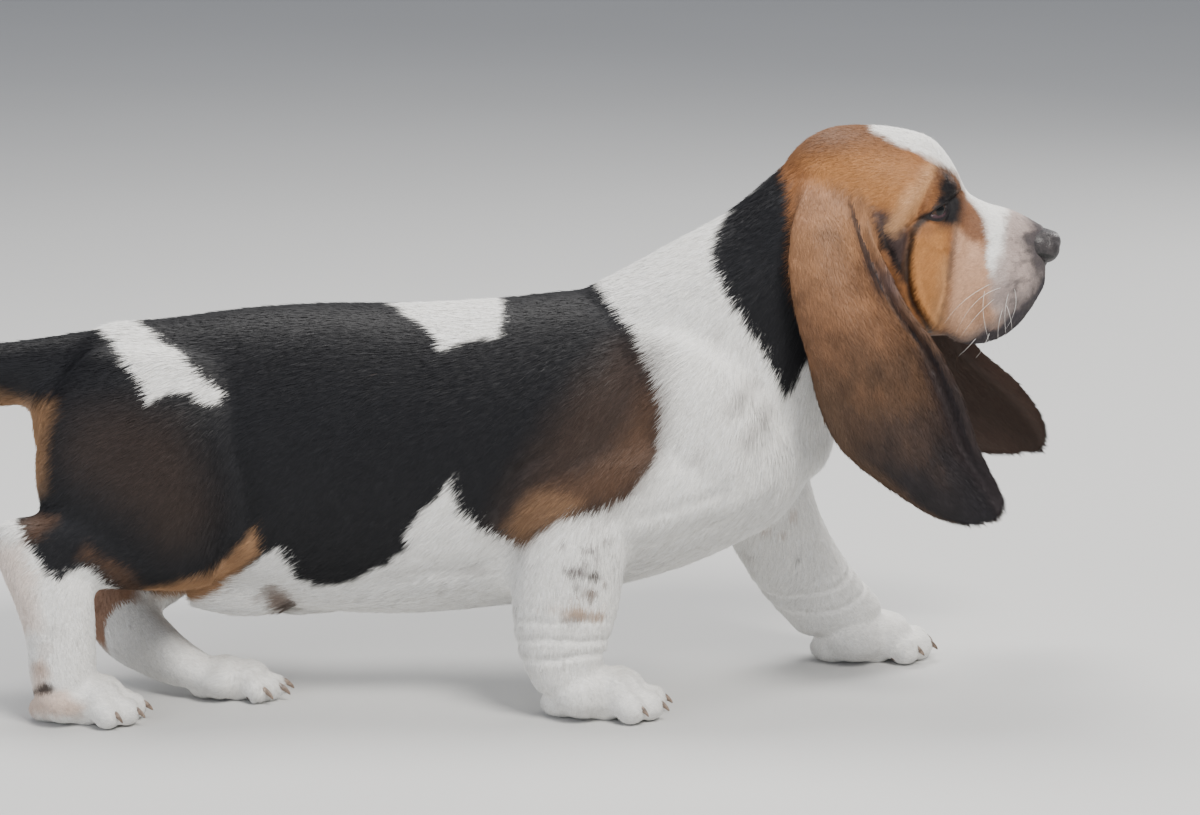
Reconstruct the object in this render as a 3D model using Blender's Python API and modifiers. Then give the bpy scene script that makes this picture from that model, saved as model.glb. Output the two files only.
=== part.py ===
"""A young basset hound at life size, walking, as a still museum model.

The head points along +X, the animal's left side along +Y, and the paws stand on z = 0.
Sizes in the tables below are millimetres; MM turns them into Blender's metres.
"""

import math

import bmesh
import bpy
import numpy as np
from mathutils import Matrix, Vector

MM = 0.001

# The flesh is modelled whole, then parted by cuts of this width.
GAP = 0.3
# The grid on which the overlapping forms become one surface.
GRID = 2.2
# Triangles left on the whole flesh surface before it is parted.
FLESH_TRIANGLES = 5800
# How often the flesh is smoothed, and how strongly.
FLESH_ROUNDS = 14
FLESH_PULL = 0.6
# The ears are fitted to flesh grown by this much, which leaves them a gap.
EAR_CLEARANCE = 0.5

COAT = {
    "black": ((0.018, 0.016, 0.018), 0.55),
    "tan": ((0.34, 0.13, 0.04), 0.6),
    "white": ((0.78, 0.74, 0.68), 0.65),
    "brown": ((0.11, 0.045, 0.02), 0.6),
    "nose": ((0.02, 0.017, 0.017), 0.35),
    "eye": ((0.02, 0.01, 0.006), 0.05),
}

# Rows of a form: upper point (x, z), lower point (x, z), half width, y of the middle.
TORSO = [
    (-312, 194, -314, 128, 34, 0),
    (-290, 216, -292, 94, 50, 0),
    (-250, 221, -252, 70, 57, 0),
    (-205, 227, -205, 55, 62, 0),
    (-155, 230, -155, 47, 66, 0),
    (-110, 230, -110, 46, 69, 0),
    (-55, 233, -55, 51, 70, 0),
    (0, 238, -2, 60, 69, 0),
    (45, 234, 40, 71, 66, 0),
    (86, 213, 78, 87, 58, 0),
    (115, 190, 108, 106, 46, 0),
    (127, 173, 123, 128, 34, 0),
]
NECK = [
    (-20, 233, 110, 118, 52, 0),
    (19, 253.5, 133, 148, 54, 0),
    (47, 269, 139, 173, 52, 0),
    (72, 283, 146, 192, 49, 0),
    (95, 302, 156, 208, 46, 0),
    (110, 315, 168, 220, 42, 0),
]
CRANIUM = [
    (103, 308, 140, 240, 31, 0),
    (114, 322.5, 152, 230, 38, 0),
    (131, 332, 162, 224, 42, 0),
    (152, 333.5, 172, 222, 43, 0),
    (174, 331, 182, 222, 42, 0),
    (190, 325.5, 192, 223, 38, 0),
    (201.5, 312, 201, 226, 31, 0),
    (209, 297, 209, 230, 25, 0),
]
MUZZLE = [
    (190, 304, 188, 234, 30, 0),
    (208, 295, 206, 230, 26, 0),
    (222, 288, 220, 230, 23.5, 0),
    (236, 284, 235, 232, 22, 0),
    (245, 280, 243.5, 234.5, 17.5, 0),
    (252, 275.8, 250.5, 242, 12.5, 0),
]
LOWER_JAW = [
    (150, 240, 150, 212, 27, 0),
    (175, 238, 177, 210, 26, 0),
    (200, 234, 201, 211, 20, 0),
    (222, 234, 224, 214, 16, 0),
    (235, 236, 236, 218.5, 13.5, 0),
    (243, 237, 243.5, 225, 10, 0),
]
# The hanging upper lip of one side, mirrored to the other.
FLEW = [
    (186, 264, 190, 220, 8.5, 26),
    (200, 266, 203, 211, 9, 25.5),
    (218, 266, 219.5, 209.5, 9, 23),
    (234, 264, 236, 216.5, 9, 19.5),
    (246, 260, 246.5, 227.5, 8.5, 14),
    (252.5, 256, 253.5, 238, 7.5, 8.5),
]
CHEEK = [
    (158, 280, 160, 220, 14, 27),
    (174, 284, 176, 216, 16, 27),
    (190, 282, 192, 216, 14, 25),
    (204, 276, 206, 220, 10, 23),
]
TAIL = [
    (-286, 216, -292, 168, 24, 0),
    (-318, 211, -321, 169, 20.5, 0),
    (-352, 207, -352, 167.5, 18.5, 0),
    (-390, 209, -388, 175, 16, 0),
    (-418, 216, -426, 191, 13, 0),
    (-444, 230, -454, 215, 9.5, 0),
    (-467, 250, -475, 241, 6.5, 0),
]

# Near and far are the right and left sides: the photograph shows the right one.
FRONT_RIGHT = [
    (34, 176, -48, 158, 20, -46),
    (28, 136, -50, 124, 26, -54),
    (19, 106, -50, 98, 26.5, -58),
    (14.5, 82, -51.5, 74, 25, -59),
    (10.5, 58.9, -50.5, 52.1, 23.5, -58.5),
    (4, 38.5, -46, 34, 22, -58),
    (1, 27.2, -40, 20.4, 21, -58),
]
FRONT_LEFT = [
    (112, 158, 40, 126, 20, 40),
    (124, 122, 66, 92, 25, 47),
    (134, 90, 82, 65.7, 25.5, 50),
    (147, 65.7, 94, 46.5, 24.5, 52),
    (160, 48.5, 107, 31, 23.5, 55),
    (170, 37, 118, 18.5, 22, 57),
]
THIGH_RIGHT = [
    (-206, 200, -292, 208, 14, -38),
    (-199, 176, -312, 186, 24, -43),
    (-199, 146, -321, 158, 29, -46),
    (-204, 116, -321, 130, 29, -49),
    (-214, 90, -312, 106, 24, -51),
    (-226, 76, -292, 88, 17, -51),
]
SHANK_RIGHT = [
    (-226, 120, -224, 74, 20, -51),
    (-262, 124, -258, 72, 21, -54),
    (-298, 124, -294, 76, 19.5, -59),
    (-326, 117.5, -318, 77, 17, -63),
    (-340, 110, -332, 82, 13, -64),
]
HOCK_RIGHT = [
    (-297, 110, -343, 111, 16, -63),
    (-289, 88, -342, 91, 17.5, -64),
    (-286, 65.7, -333, 68, 18.5, -66),
    (-286, 45.3, -327, 47.6, 20, -67),
    (-286.5, 29.5, -325.5, 30.6, 20.5, -68),
    (-288, 16, -323, 16, 19.5, -68),
]
THIGH_LEFT = [
    (-186, 200, -286, 210, 14, 38),
    (-176, 174, -308, 190, 24, 42),
    (-174, 144, -316, 164, 29, 44),
    (-176, 114, -314, 134, 29, 45),
    (-184, 90, -300, 106, 24, 45),
    (-198, 72, -282, 84, 17, 42),
]
SHANK_LEFT = [
    (-186, 108, -238, 122, 20, 43),
    (-200, 88, -264, 104, 20, 39),
    (-216, 72, -284, 88, 19, 32),
    (-232, 58, -300, 66, 17.5, 25),
    (-250, 46, -308, 44, 16, 20),
]
HOCK_LEFT = [
    (-282, 68, -306, 32, 15.5, 18),
    (-270, 55.5, -290, 16, 16.5, 9),
    (-256, 43, -270, 8, 17.5, -1),
    (-242, 31.5, -252, 5, 18, -12),
    (-229, 24, -236, 4.5, 17, -19),
]
# The soft fold of belly skin that joins the thigh to the flank.
FLANK_RIGHT = [
    (-236, 120, -236, 52, 12, -24),
    (-208, 116, -208, 48, 12, -28),
    (-180, 112, -180, 50, 9, -28),
]
FLANK_LEFT = [
    (-222, 120, -222, 50, 12, 26),
    (-196, 114, -196, 48, 12, 28),
    (-172, 110, -172, 52, 9, 28),
]
# Over the shoulder blade, down to the point of the shoulder.
SHOULDER = [
    (24, 231, -16, 206, 12, 31),
    (50, 224, -2, 177, 22, 40),
    (78, 206, 16, 147, 29, 44),
    (99, 179, 36, 125, 31, 44),
    (108, 150, 54, 111, 26, 42),
]
# From the point of the shoulder back to the elbow of the leg that bears weight.
UPPER_ARM = [
    (102, 164, 84, 120, 22, -42),
    (60, 170, 48, 104, 29, -46),
    (10, 164, 2, 94, 30, -50),
    (-24, 146, -30, 96, 27, -52),
    (-44, 130, -43, 106, 18, -53),
]
BROW = [
    (176, 316, 180, 296, 8, 27),
    (190, 312, 189, 292, 9, 27),
    (202, 303, 197, 287, 8, 22),
]
SHEATH = [
    (-150, 68, -150, 44, 8, 0),
    (-170, 66, -170, 42, 8.5, 0),
    (-184, 64, -186, 41, 6.5, 0),
]

# A paw: place of its middle on the floor, heading (0 = forwards), scale.
PAWS = {
    "paw_front_right": ((-5, -58), -8, 1.08),
    "paw_front_left": ((157, 59), 5, 1.1),
    "paw_hind_right": ((-299, -68), -10, 1.0),
    "paw_hind_left": ((-217, -22), -5, 0.85),
}
# Each toe: heading in the paw, reach of its tip from the paw's middle, half width.
TOES = [(-25, 25, 8.2), (-8, 31.5, 8.6), (9, 31.5, 8.6), (26, 25, 8.2)]
# Places and radii in a paw: its palm and heel, and the knuckle, root and tip of a toe,
# whose width is a share of the toe's own half width.
PALM = ((-4, 0, 14), (19.5, 24.5, 15.5))
HEEL = ((-15, 0, 7), (13, 15, 9))
KNUCKLE = (13, 1.0, 11.5)
TOE_ROOT = (14, 1.0, 9)
TOE_TIP = (9.2, 0.96, 8.8)
KNUCKLE_SHARE = 0.52
KNUCKLE_HEIGHT = 14.5
TOE_ROOT_SHARE = 0.45
TOE_HEIGHT = 8.0
TOE_SPREAD = 9
CLAW_LENGTH = 6.5
CLAW_RADIUS = 2.5
CLAW_START = (5.5, 1.5)
CLAW_DROP = 5.2
CLAW_POINT = 0.8
# Raised rings of skin above a front paw: share of the leg's length, height.
WRIST_FOLDS = ((0.80, 1.3), (0.89, 1.6), (0.97, 1.8))

# Eyeball, and the almond between the lids. The gaze points forwards and outwards.
EYE_CENTRE = (186.5, 25.5, 288.5)
EYE_RADIUS = 9.2
LID_THICKNESS = 2.2
GAZE_TURN = 55
LID_HALF_WIDTH = 8.6
LID_HALF_HEIGHT = 4.6
LID_LEAN = -22

# The line of the mouth on one side, from the front to the corner: x, y, foot, top.
MOUTH = [
    (262, 1.2, 226, 241),
    (256, 3.5, 222, 237),
    (247, 8, 212, 230),
    (234, 12.5, 200, 226),
    (218, 16, 196, 224),
    (202, 18.5, 198, 222),
    (190, 19.5, 202, 221),
]
MOUTH_WIDTH = 1.4
# The slot under the nose where the two lines meet: its middle and radii.
MOUTH_FRONT = ((255, 0, 236.5), (9, 9, 0.9))

# The nose leather in its own frame, whose back plane stands on the muzzle: overlapping
# lumps, the nostrils, and the slit that runs back from each. Each has its middle and radii,
# and those off the middle are on both sides.
NOSE_BACK = 248.5
NOSE_HEIGHT = 260.6
NOSE_TILT = 14
NOSE_GRID = 0.8
NOSE_TRIANGLES = 380
NOSE_LUMPS = [
    ((6, 0, 4.2), (10, 12, 8.2)),
    ((7, 5.8, 0.8), (8.5, 8, 8.4)),
    ((5.4, 0, -6.6), (6.3, 5, 7.6)),
]
NOSTRIL = ((13.5, 6.6, 0.6), (6.0, 2.6, 2.9))
NOSE_SLIT = ((9, 11.6, -1.6), (7.6, 2.2, 1.3))
SLIT_TURN = 38
# How far the room for the nose is swept forwards through the muzzle.
NOSE_SWEEP = 14

# One ear as rows from root to tip: front edge (x, y, z), back edge (x, y, z), outward swell.
EAR_RIGHT = [
    (147, -26, 306, 118, -27, 308, 0),
    (150, -36, 295, 111, -37, 297, 2),
    (156, -44, 280, 107, -46, 283, 6),
    (165, -51, 260, 105, -54, 260, 9),
    (174, -57, 239, 108.5, -60, 235, 11),
    (190.5, -61, 215, 115.5, -64, 209, 11),
    (204, -64, 188, 122, -67, 183, 10),
    (212.5, -66, 162, 133.5, -69, 160, 9),
    (223, -68, 140, 161, -72, 137, 6),
    (228, -69, 126, 189, -73, 120, 3),
    (223, -70, 117.5, 207, -72, 115.5, 1),
]
EAR_LEFT = [
    (148, 26, 306, 118, 27, 308, 0),
    (154, 36, 295, 112, 37, 297, 2),
    (163, 45, 282, 110, 47, 280, 6),
    (177, 53, 264, 114, 57, 257, 9),
    (196, 62, 245, 121, 65, 229, 11),
    (210, 69, 219, 131, 72, 201, 11),
    (227, 75, 190, 145, 78, 175, 10),
    (249, 80, 170, 166, 82, 153, 9),
    (264, 84.5, 151, 196, 86, 134, 6),
    (270.5, 87, 134, 226, 88, 122, 3),
    (268, 88, 122, 247, 88, 120, 1),
]
EAR_THICKNESS = 4.2
# Across an ear, as shares from its back to its front edge: the swell ends here, and the
# trough lies here, so deep as a share of the swell and so wide.
EAR_SWELL_END = 0.74
EAR_TROUGH = (0.86, 0.75, 0.075)

# Cuts across head and neck, tail and paws: middle, two directions in the plate, its size.
ACROSS = (0, 1, 0)
CUT_PLATES = [
    ((134, 0, 266), ACROSS, (-44, 0, 98), (140, 190)),
    ((72, 0, 198), ACROSS, (-112, 0, 92), (190, 260)),
    ((-331, 0, 189), ACROSS, (-2, 0, 40), (70, 66)),
]
PAW_CUT_PLATES = [
    ((-14, -58, 26), (1, 0, 0.12), ACROSS, (84, 70)),
    ((143, 58, 29), (1, 0, 0.26), ACROSS, (84, 60)),
    ((-306, -68, 25), (1, 0, 0.16), ACROSS, (84, 56)),
]
# Cuts round the top of each leg, as thin eggs: middle, radii, lean about x and about y.
CUT_SHELLS = [
    ((-12, -95, 18), (70, 66, 138), (0, 0)),
    ((124, 89, 18), (80, 80, 138), (0, -22)),
    ((-275, -66, 80), (86, 45, 112), (0, 0)),
    ((-258, 54, 108), (80, 47, 106), (-22, 0)),
]


def clear_scene():
    for old in list(bpy.data.objects):
        bpy.data.objects.remove(old, do_unlink=True)


def collection(name):
    made = bpy.data.collections.new(name)
    bpy.context.scene.collection.children.link(made)
    return made


def material(name):
    colour, roughness = COAT[name]
    made = bpy.data.materials.get(name)
    if made is None:
        made = bpy.data.materials.new(name)
        made.use_nodes = True
        shader = made.node_tree.nodes["Principled BSDF"]
        shader.inputs["Base Color"].default_value = (*colour, 1.0)
        shader.inputs["Roughness"].default_value = roughness
        shader.inputs["Metallic"].default_value = 0.0
    return made


def put(name, mesh, where):
    made = bpy.data.objects.new(name, mesh)
    where.objects.link(made)
    return made


def curve_through(rows, count):
    """Rows sampled evenly along a smooth curve that passes through every one of them."""
    rows = np.asarray(rows, float)
    keys = np.concatenate([[0], np.cumsum(np.linalg.norm(np.diff(rows[:, :4], axis=0), axis=1))])
    step = np.diff(keys)
    slope = np.diff(rows, axis=0) / step[:, None]
    tangent = np.vstack([slope[:1], np.zeros((len(rows) - 2, rows.shape[1])), slope[-1:]])
    weight = (step[1:] / (step[:-1] + step[1:]))[:, None]
    tangent[1:-1] = slope[:-1] * weight + slope[1:] * (1 - weight)
    at = np.linspace(0, keys[-1], count)
    i = np.clip(np.searchsorted(keys, at, side="right") - 1, 0, len(step) - 1)
    h = step[i][:, None]
    t = ((at - keys[i]) / step[i])[:, None]
    return (
        rows[i] * (2 * t**3 - 3 * t**2 + 1)
        + tangent[i] * h * (t**3 - 2 * t**2 + t)
        + rows[i + 1] * (3 * t**2 - 2 * t**3)
        + tangent[i + 1] * h * (t**3 - t**2)
    )


def closed_tube(rings, start, end):
    """A mesh whose quads join each ring to the next, with a point closing each end."""
    count, around = rings.shape[:2]
    points = np.vstack([rings.reshape(-1, 3), start, end])
    index = np.arange(count * around).reshape(count, around)
    turned = np.roll(index, -1, axis=1)
    sides = np.stack([index[:-1], turned[:-1], turned[1:], index[1:]], axis=-1).reshape(-1, 4)
    first, last = count * around, count * around + 1
    faces = sides.tolist()
    faces += [(first, turned[0, k], index[0, k]) for k in range(around)]
    faces += [(last, index[-1, k], turned[-1, k]) for k in range(around)]
    mesh = bpy.data.meshes.new("form")
    mesh.from_pydata((points * MM).tolist(), [], faces)
    shape = bmesh.new()
    shape.from_mesh(mesh)
    bmesh.ops.recalc_face_normals(shape, faces=shape.faces)
    shape.to_mesh(mesh)
    shape.free()
    return mesh


def form(rows, where, mirrored=False, square=0.92, bulge=0.55, folds=()):
    """A body form: elliptical sections between an upper and a lower line, with rounded ends.

    Each section lies across the line from its lower to its upper point, and folds are raised
    rings of skin, each given as a share of the length and a height.
    """
    sections = curve_through(rows, 40)
    upper = np.stack([sections[:, 0], sections[:, 5], sections[:, 1]], axis=1)
    lower = np.stack([sections[:, 2], sections[:, 5], sections[:, 3]], axis=1)
    middle = (upper + lower) / 2
    rise = (upper - lower) / 2
    side = np.zeros_like(middle)
    side[:, 1] = sections[:, 4]
    share = np.linspace(0, 1, len(sections))
    swell = np.zeros(len(sections))
    for place, height in folds:
        swell += height * np.exp(-(((share - place) / 0.028) ** 2))
    side[:, 1] += swell
    rise *= 1 + swell[:, None] / np.linalg.norm(rise, axis=1)[:, None]

    turn = np.linspace(0, 2 * math.pi, 44, endpoint=False)
    across = np.sign(np.cos(turn)) * np.abs(np.cos(turn)) ** square
    up = np.sign(np.sin(turn)) * np.abs(np.sin(turn)) ** square

    def ring(k, scale, shift):
        return middle[k] + shift + scale * (
            side[k] * across[:, None] + rise[k] * up[:, None]
        )

    steps = np.radians([75, 50, 25])
    rings = []
    heading = middle[1] - middle[0]
    reach = -heading / np.linalg.norm(heading) * bulge * min(np.linalg.norm(rise[0]), side[0, 1])
    rings += [ring(0, math.cos(s), reach * math.sin(s)) for s in steps]
    start = middle[0] + reach
    rings += [ring(k, 1.0, 0.0) for k in range(len(sections))]
    heading = middle[-1] - middle[-2]
    reach = heading / np.linalg.norm(heading) * bulge * min(np.linalg.norm(rise[-1]), side[-1, 1])
    rings += [ring(-1, math.cos(s), reach * math.sin(s)) for s in steps[::-1]]
    end = middle[-1] + reach
    rings = np.array(rings)
    if mirrored:
        flip = np.array([1, -1, 1])
        rings, start, end = rings * flip, start * flip, end * flip
    return put("form", closed_tube(rings, start, end), where)


def ball(centre, radii, where, turn=None, segments=24, rings=14, name="form"):
    """An ellipsoid; turn is a rotation matrix."""
    mesh = bpy.data.meshes.new(name)
    shape = bmesh.new()
    bmesh.ops.create_uvsphere(shape, u_segments=segments, v_segments=rings, radius=1.0)
    place = Matrix.Translation(Vector(centre) * MM)
    size = Matrix.Diagonal((*[r * MM for r in radii], 1.0))
    shape.transform(place @ (turn.to_4x4() if turn else Matrix.Identity(4)) @ size)
    shape.to_mesh(mesh)
    shape.free()
    return put(name, mesh, where)


def paw_frame(place, heading, scale):
    """Where a paw stands: its own x runs out along the toes."""
    turn = Matrix.Rotation(math.radians(heading), 4, "Z")
    return Matrix.Translation((*place, 0)) @ turn @ Matrix.Scale(scale, 4)


def toe_points(heading, reach):
    """The knuckle and the tip of a toe in the paw's own frame."""
    a = math.radians(heading)
    out = Vector((math.cos(a), math.sin(a), 0))
    sidestep = Vector((0, math.sin(a) * TOE_SPREAD, 0))
    knuckle = out * reach * KNUCKLE_SHARE + sidestep + Vector((0, 0, KNUCKLE_HEIGHT))
    tip = out * reach + sidestep * 0.9 + Vector((0, 0, TOE_HEIGHT))
    return knuckle, tip, out


def paw_forms(name, where):
    frame = paw_frame(*PAWS[name])
    turn = frame.to_3x3().normalized()
    scale = PAWS[name][2]
    for middle, radii in (PALM, HEEL):
        ball(frame @ Vector(middle), [r * scale for r in radii], where, turn)
    for heading, reach, half in TOES:
        knuckle, tip, _ = toe_points(heading, reach)
        aim = turn @ Matrix.Rotation(math.radians(heading), 3, "Z")
        places = ((knuckle, KNUCKLE), (tip, TOE_TIP), (knuckle * TOE_ROOT_SHARE, TOE_ROOT))
        for middle, (length, width, height) in places:
            ball(frame @ middle, [length * scale, width * half * scale, height * scale], where, aim)


def body_forms(where):
    for rows in (TORSO, NECK, TAIL):
        form(rows, where)
    form(CRANIUM, where, square=0.95)
    form(MUZZLE, where, square=0.85)
    form(LOWER_JAW, where)
    for mirrored in (False, True):
        for rows in (FLEW, CHEEK, BROW, SHOULDER):
            form(rows, where, mirrored)
    form(UPPER_ARM, where)
    form(FRONT_RIGHT, where, folds=WRIST_FOLDS)
    form(FRONT_LEFT, where, folds=WRIST_FOLDS)
    for rows in (THIGH_RIGHT, SHANK_RIGHT, HOCK_RIGHT, THIGH_LEFT, SHANK_LEFT, HOCK_LEFT):
        form(rows, where)
    for rows in (FLANK_RIGHT, FLANK_LEFT, SHEATH):
        form(rows, where)
    for name in PAWS:
        paw_forms(name, where)


def joined(where):
    """Every object of a collection as one mesh, with the objects removed."""
    shape = bmesh.new()
    for piece in list(where.objects):
        shape.from_mesh(piece.data)
        bpy.data.objects.remove(piece, do_unlink=True)
    mesh = bpy.data.meshes.new("joined")
    shape.to_mesh(mesh)
    shape.free()
    return mesh


def evaluated(piece):
    """A piece's mesh with its modifiers applied; the piece is removed."""
    graph = bpy.context.evaluated_depsgraph_get()
    mesh = bpy.data.meshes.new_from_object(piece.evaluated_get(graph))
    bpy.data.objects.remove(piece, do_unlink=True)
    return mesh


def relax(mesh, rounds, strength):
    """Moves each point towards the mean of its neighbours, by its own strength."""
    count = len(mesh.vertices)
    points = np.empty(count * 3)
    mesh.vertices.foreach_get("co", points)
    points = points.reshape(-1, 3)
    ends = np.empty(len(mesh.edges) * 2, np.int64)
    mesh.edges.foreach_get("vertices", ends)
    a, b = ends.reshape(-1, 2).T
    degree = np.bincount(a, minlength=count) + np.bincount(b, minlength=count)
    pull = strength(points / MM)[:, None]
    for _ in range(rounds):
        total = np.stack(
            [
                np.bincount(a, points[b, k], count) + np.bincount(b, points[a, k], count)
                for k in range(3)
            ],
            axis=1,
        )
        points = points + pull * (total / degree[:, None] - points)
    mesh.vertices.foreach_set("co", points.ravel())
    mesh.update()


def softness(points):
    """Full smoothing on the body, little on the paws and the muzzle, where forms are small."""
    x, _, z = points.T
    low = np.clip((z - 22) / 25, 0.12, 1)
    face = 1 - 0.75 * np.clip((x - 180) / 25, 0, 1) * np.clip((z - 180) / 10, 0, 1)
    return FLESH_PULL * low * face


def whole_flesh(where):
    """All the forms as one smooth closed surface of a set number of triangles."""
    piece = put("flesh", joined(where), where)
    remesh = piece.modifiers.new("one surface", "REMESH")
    remesh.mode = "VOXEL"
    remesh.voxel_size = GRID * MM
    remesh.adaptivity = 0.0
    mesh = evaluated(piece)
    relax(mesh, FLESH_ROUNDS, softness)
    piece = put("flesh", mesh, where)
    weight = piece.vertex_groups.new(name="detail")
    for vertex in mesh.vertices:
        x, _, z = vertex.co / MM
        fine = 0.3 if (x > 165 and z > 200) else 0.4 if z < 45 else 0.8
        weight.add([vertex.index], fine, "REPLACE")
    fewer = piece.modifiers.new("fewer faces", "DECIMATE")
    fewer.ratio = FLESH_TRIANGLES / (2 * len(mesh.polygons))
    fewer.vertex_group = "detail"
    fewer.vertex_group_factor = 1.0
    fewer.use_collapse_triangulate = True
    return evaluated(piece)


def stand_flat(mesh):
    """Cuts everything off below the floor, which leaves small flats under the paws."""
    shape = bmesh.new()
    shape.from_mesh(mesh)
    every = shape.verts[:] + shape.edges[:] + shape.faces[:]
    bmesh.ops.bisect_plane(
        shape, geom=every, dist=1e-7, plane_co=(0, 0, 0), plane_no=(0, 0, -1), clear_outer=True
    )
    rim = [edge for edge in shape.edges if edge.is_boundary]
    bmesh.ops.holes_fill(shape, edges=rim, sides=0)
    bmesh.ops.triangulate(shape, faces=[f for f in shape.faces if len(f.verts) > 3])
    bmesh.ops.recalc_face_normals(shape, faces=shape.faces)
    shape.to_mesh(mesh)
    shape.free()
    return mesh


def cut_plate(centre, across, along, size, where):
    """A thin plate that parts the flesh: across and along are directions in it."""
    x = Vector(across).normalized()
    z = x.cross(Vector(along)).normalized()
    y = z.cross(x)
    turn = Matrix((x, y, z)).transposed().to_4x4()
    mesh = bpy.data.meshes.new("cut")
    shape = bmesh.new()
    bmesh.ops.create_cube(shape, size=1.0)
    shape.transform(
        Matrix.Translation(Vector(centre) * MM)
        @ turn
        @ Matrix.Diagonal((size[0] * MM, size[1] * MM, GAP * MM, 1.0))
    )
    shape.to_mesh(mesh)
    shape.free()
    return put("cut", mesh, where)


def cut_shell(centre, radii, lean, where):
    """A thin closed egg that parts what lies inside it, such as a leg, from the rest.

    The lean turns its upright axis, in degrees about x and about y.
    """
    turn = Matrix.Rotation(math.radians(lean[0]), 3, "X") @ Matrix.Rotation(
        math.radians(lean[1]), 3, "Y"
    )
    outer = ball(centre, radii, where, turn, 20, 12, "cut")
    inner = ball(centre, [r - GAP for r in radii], where, turn, 20, 12, "cut")
    shape = bmesh.new()
    shape.from_mesh(inner.data)
    bmesh.ops.reverse_faces(shape, faces=shape.faces)
    shape.from_mesh(outer.data)
    shape.to_mesh(outer.data)
    shape.free()
    bpy.data.objects.remove(inner, do_unlink=True)
    return outer


def boolean(mesh, other, operation, solver="EXACT"):
    """The mesh joined with, cut by or kept inside the other object, which is removed."""
    where = bpy.context.scene.collection
    piece = put("worked", mesh, where)
    step = piece.modifiers.new("step", "BOOLEAN")
    step.operation = operation
    step.solver = solver
    step.object = other
    made = evaluated(piece)
    bpy.data.objects.remove(other, do_unlink=True)
    return made


def loose_parts(mesh):
    """The separate closed surfaces of a mesh, largest first."""
    shape = bmesh.new()
    shape.from_mesh(mesh)
    shape.verts.ensure_lookup_table()
    left = set(range(len(shape.verts)))
    parts = []
    while left:
        queue = [left.pop()]
        found = set(queue)
        while queue:
            for edge in shape.verts[queue.pop()].link_edges:
                for vertex in edge.verts:
                    if vertex.index not in found:
                        found.add(vertex.index)
                        queue.append(vertex.index)
        left -= found
        parts.append(found)
    made = []
    for found in sorted(parts, key=len, reverse=True):
        part = shape.copy()
        part.verts.ensure_lookup_table()
        away = [v for v in part.verts if v.index not in found]
        bmesh.ops.delete(part, geom=away, context="VERTS")
        kept = bpy.data.meshes.new("part")
        part.to_mesh(kept)
        part.free()
        made.append(kept)
    shape.free()
    return made


def grown(mesh, distance):
    """A copy of a mesh with every point moved out along its normal."""
    copy = mesh.copy()
    count = len(copy.vertices)
    points, normals = np.empty(count * 3), np.empty(count * 3)
    copy.vertices.foreach_get("co", points)
    copy.vertices.foreach_get("normal", normals)
    copy.vertices.foreach_set("co", points + normals * distance * MM)
    copy.update()
    return copy


# Each node of flesh: a point near its middle, and its finish.
NODES = {
    "head": ((185, 0, 270), "tan"),
    "neck": ((88, 0, 223), "white"),
    "torso": ((-100, 0, 143), "black"),
    "tail": ((-400, 0, 198), "black"),
    "leg_front_right": ((-14, -62, 85), "white"),
    "leg_front_left": ((108, 60, 85), "white"),
    "leg_hind_right": ((-270, -66, 110), "black"),
    "leg_hind_left": ((-262, 52, 110), "black"),
    "paw_front_right": ((-5, -58, 11), "white"),
    "paw_front_left": ((157, 59, 11), "white"),
    "paw_hind_right": ((-297, -68, 12), "white"),
    "paw_hind_left": ((-225, -4, 20), "white"),
}


def parting_cuts(where):
    """The cutters that part the flesh, joint by joint."""
    for plate in CUT_PLATES:
        yield cut_plate(*plate, where)
    for shell in CUT_SHELLS:
        yield cut_shell(*shell, where)
    for plate in PAW_CUT_PLATES:
        yield cut_plate(*plate, where)


def part_flesh(mesh, where):
    """Cuts the whole surface at the joints and names each piece by its place."""
    for cutter in parting_cuts(where):
        mesh = boolean(mesh, cutter, "DIFFERENCE")
    pieces = {}
    left = dict(NODES)
    for part in loose_parts(mesh):
        if not left or len(part.vertices) < 20:
            break
        middle = np.mean([v.co for v in part.vertices], axis=0) / MM
        name = min(left, key=lambda n: np.linalg.norm(middle - left[n][0]))
        pieces[name] = part
        del left[name]
    return pieces


def sheet_solid(front, back, swell, thickness, rows, columns):
    """An ear's leather: a curved sheet between a front and a back edge, thick at the root.

    The sheet swells outwards behind its middle, dips before the front edge, and the edge
    itself turns out again, which makes the cup and the fold of a hound's ear.
    """
    u = np.linspace(0, 1, columns)
    bow = np.sin(math.pi * np.clip(u / EAR_SWELL_END, 0, 1)) ** 0.9
    place, depth, width = EAR_TROUGH
    profile = bow - depth * np.exp(-(((u - place) / width) ** 2))
    middle = back[:, None] * (1 - u)[None, :, None] + front[:, None] * u[None, :, None]
    outward = np.zeros_like(middle)
    outward[..., 1] = np.sign(middle[0, 0, 1])
    middle = middle + outward * (swell[:, None] * profile[None])[..., None]
    du = np.gradient(middle, axis=1)
    dv = np.gradient(middle, axis=0)
    normal = np.cross(du, dv)
    normal /= np.linalg.norm(normal, axis=2, keepdims=True)
    edge = np.clip(np.minimum(u, 1 - u) / 0.09, 0, 1) ** 0.5
    tip = np.clip((1 - np.linspace(0, 1, rows)) / 0.06, 0, 1) ** 0.5
    half = thickness / 2 * (0.22 + 0.78 * edge[None, :] * tip[:, None])
    outer = middle + normal * half[..., None]
    inner = middle - normal * half[..., None]
    return outer, inner


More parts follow.
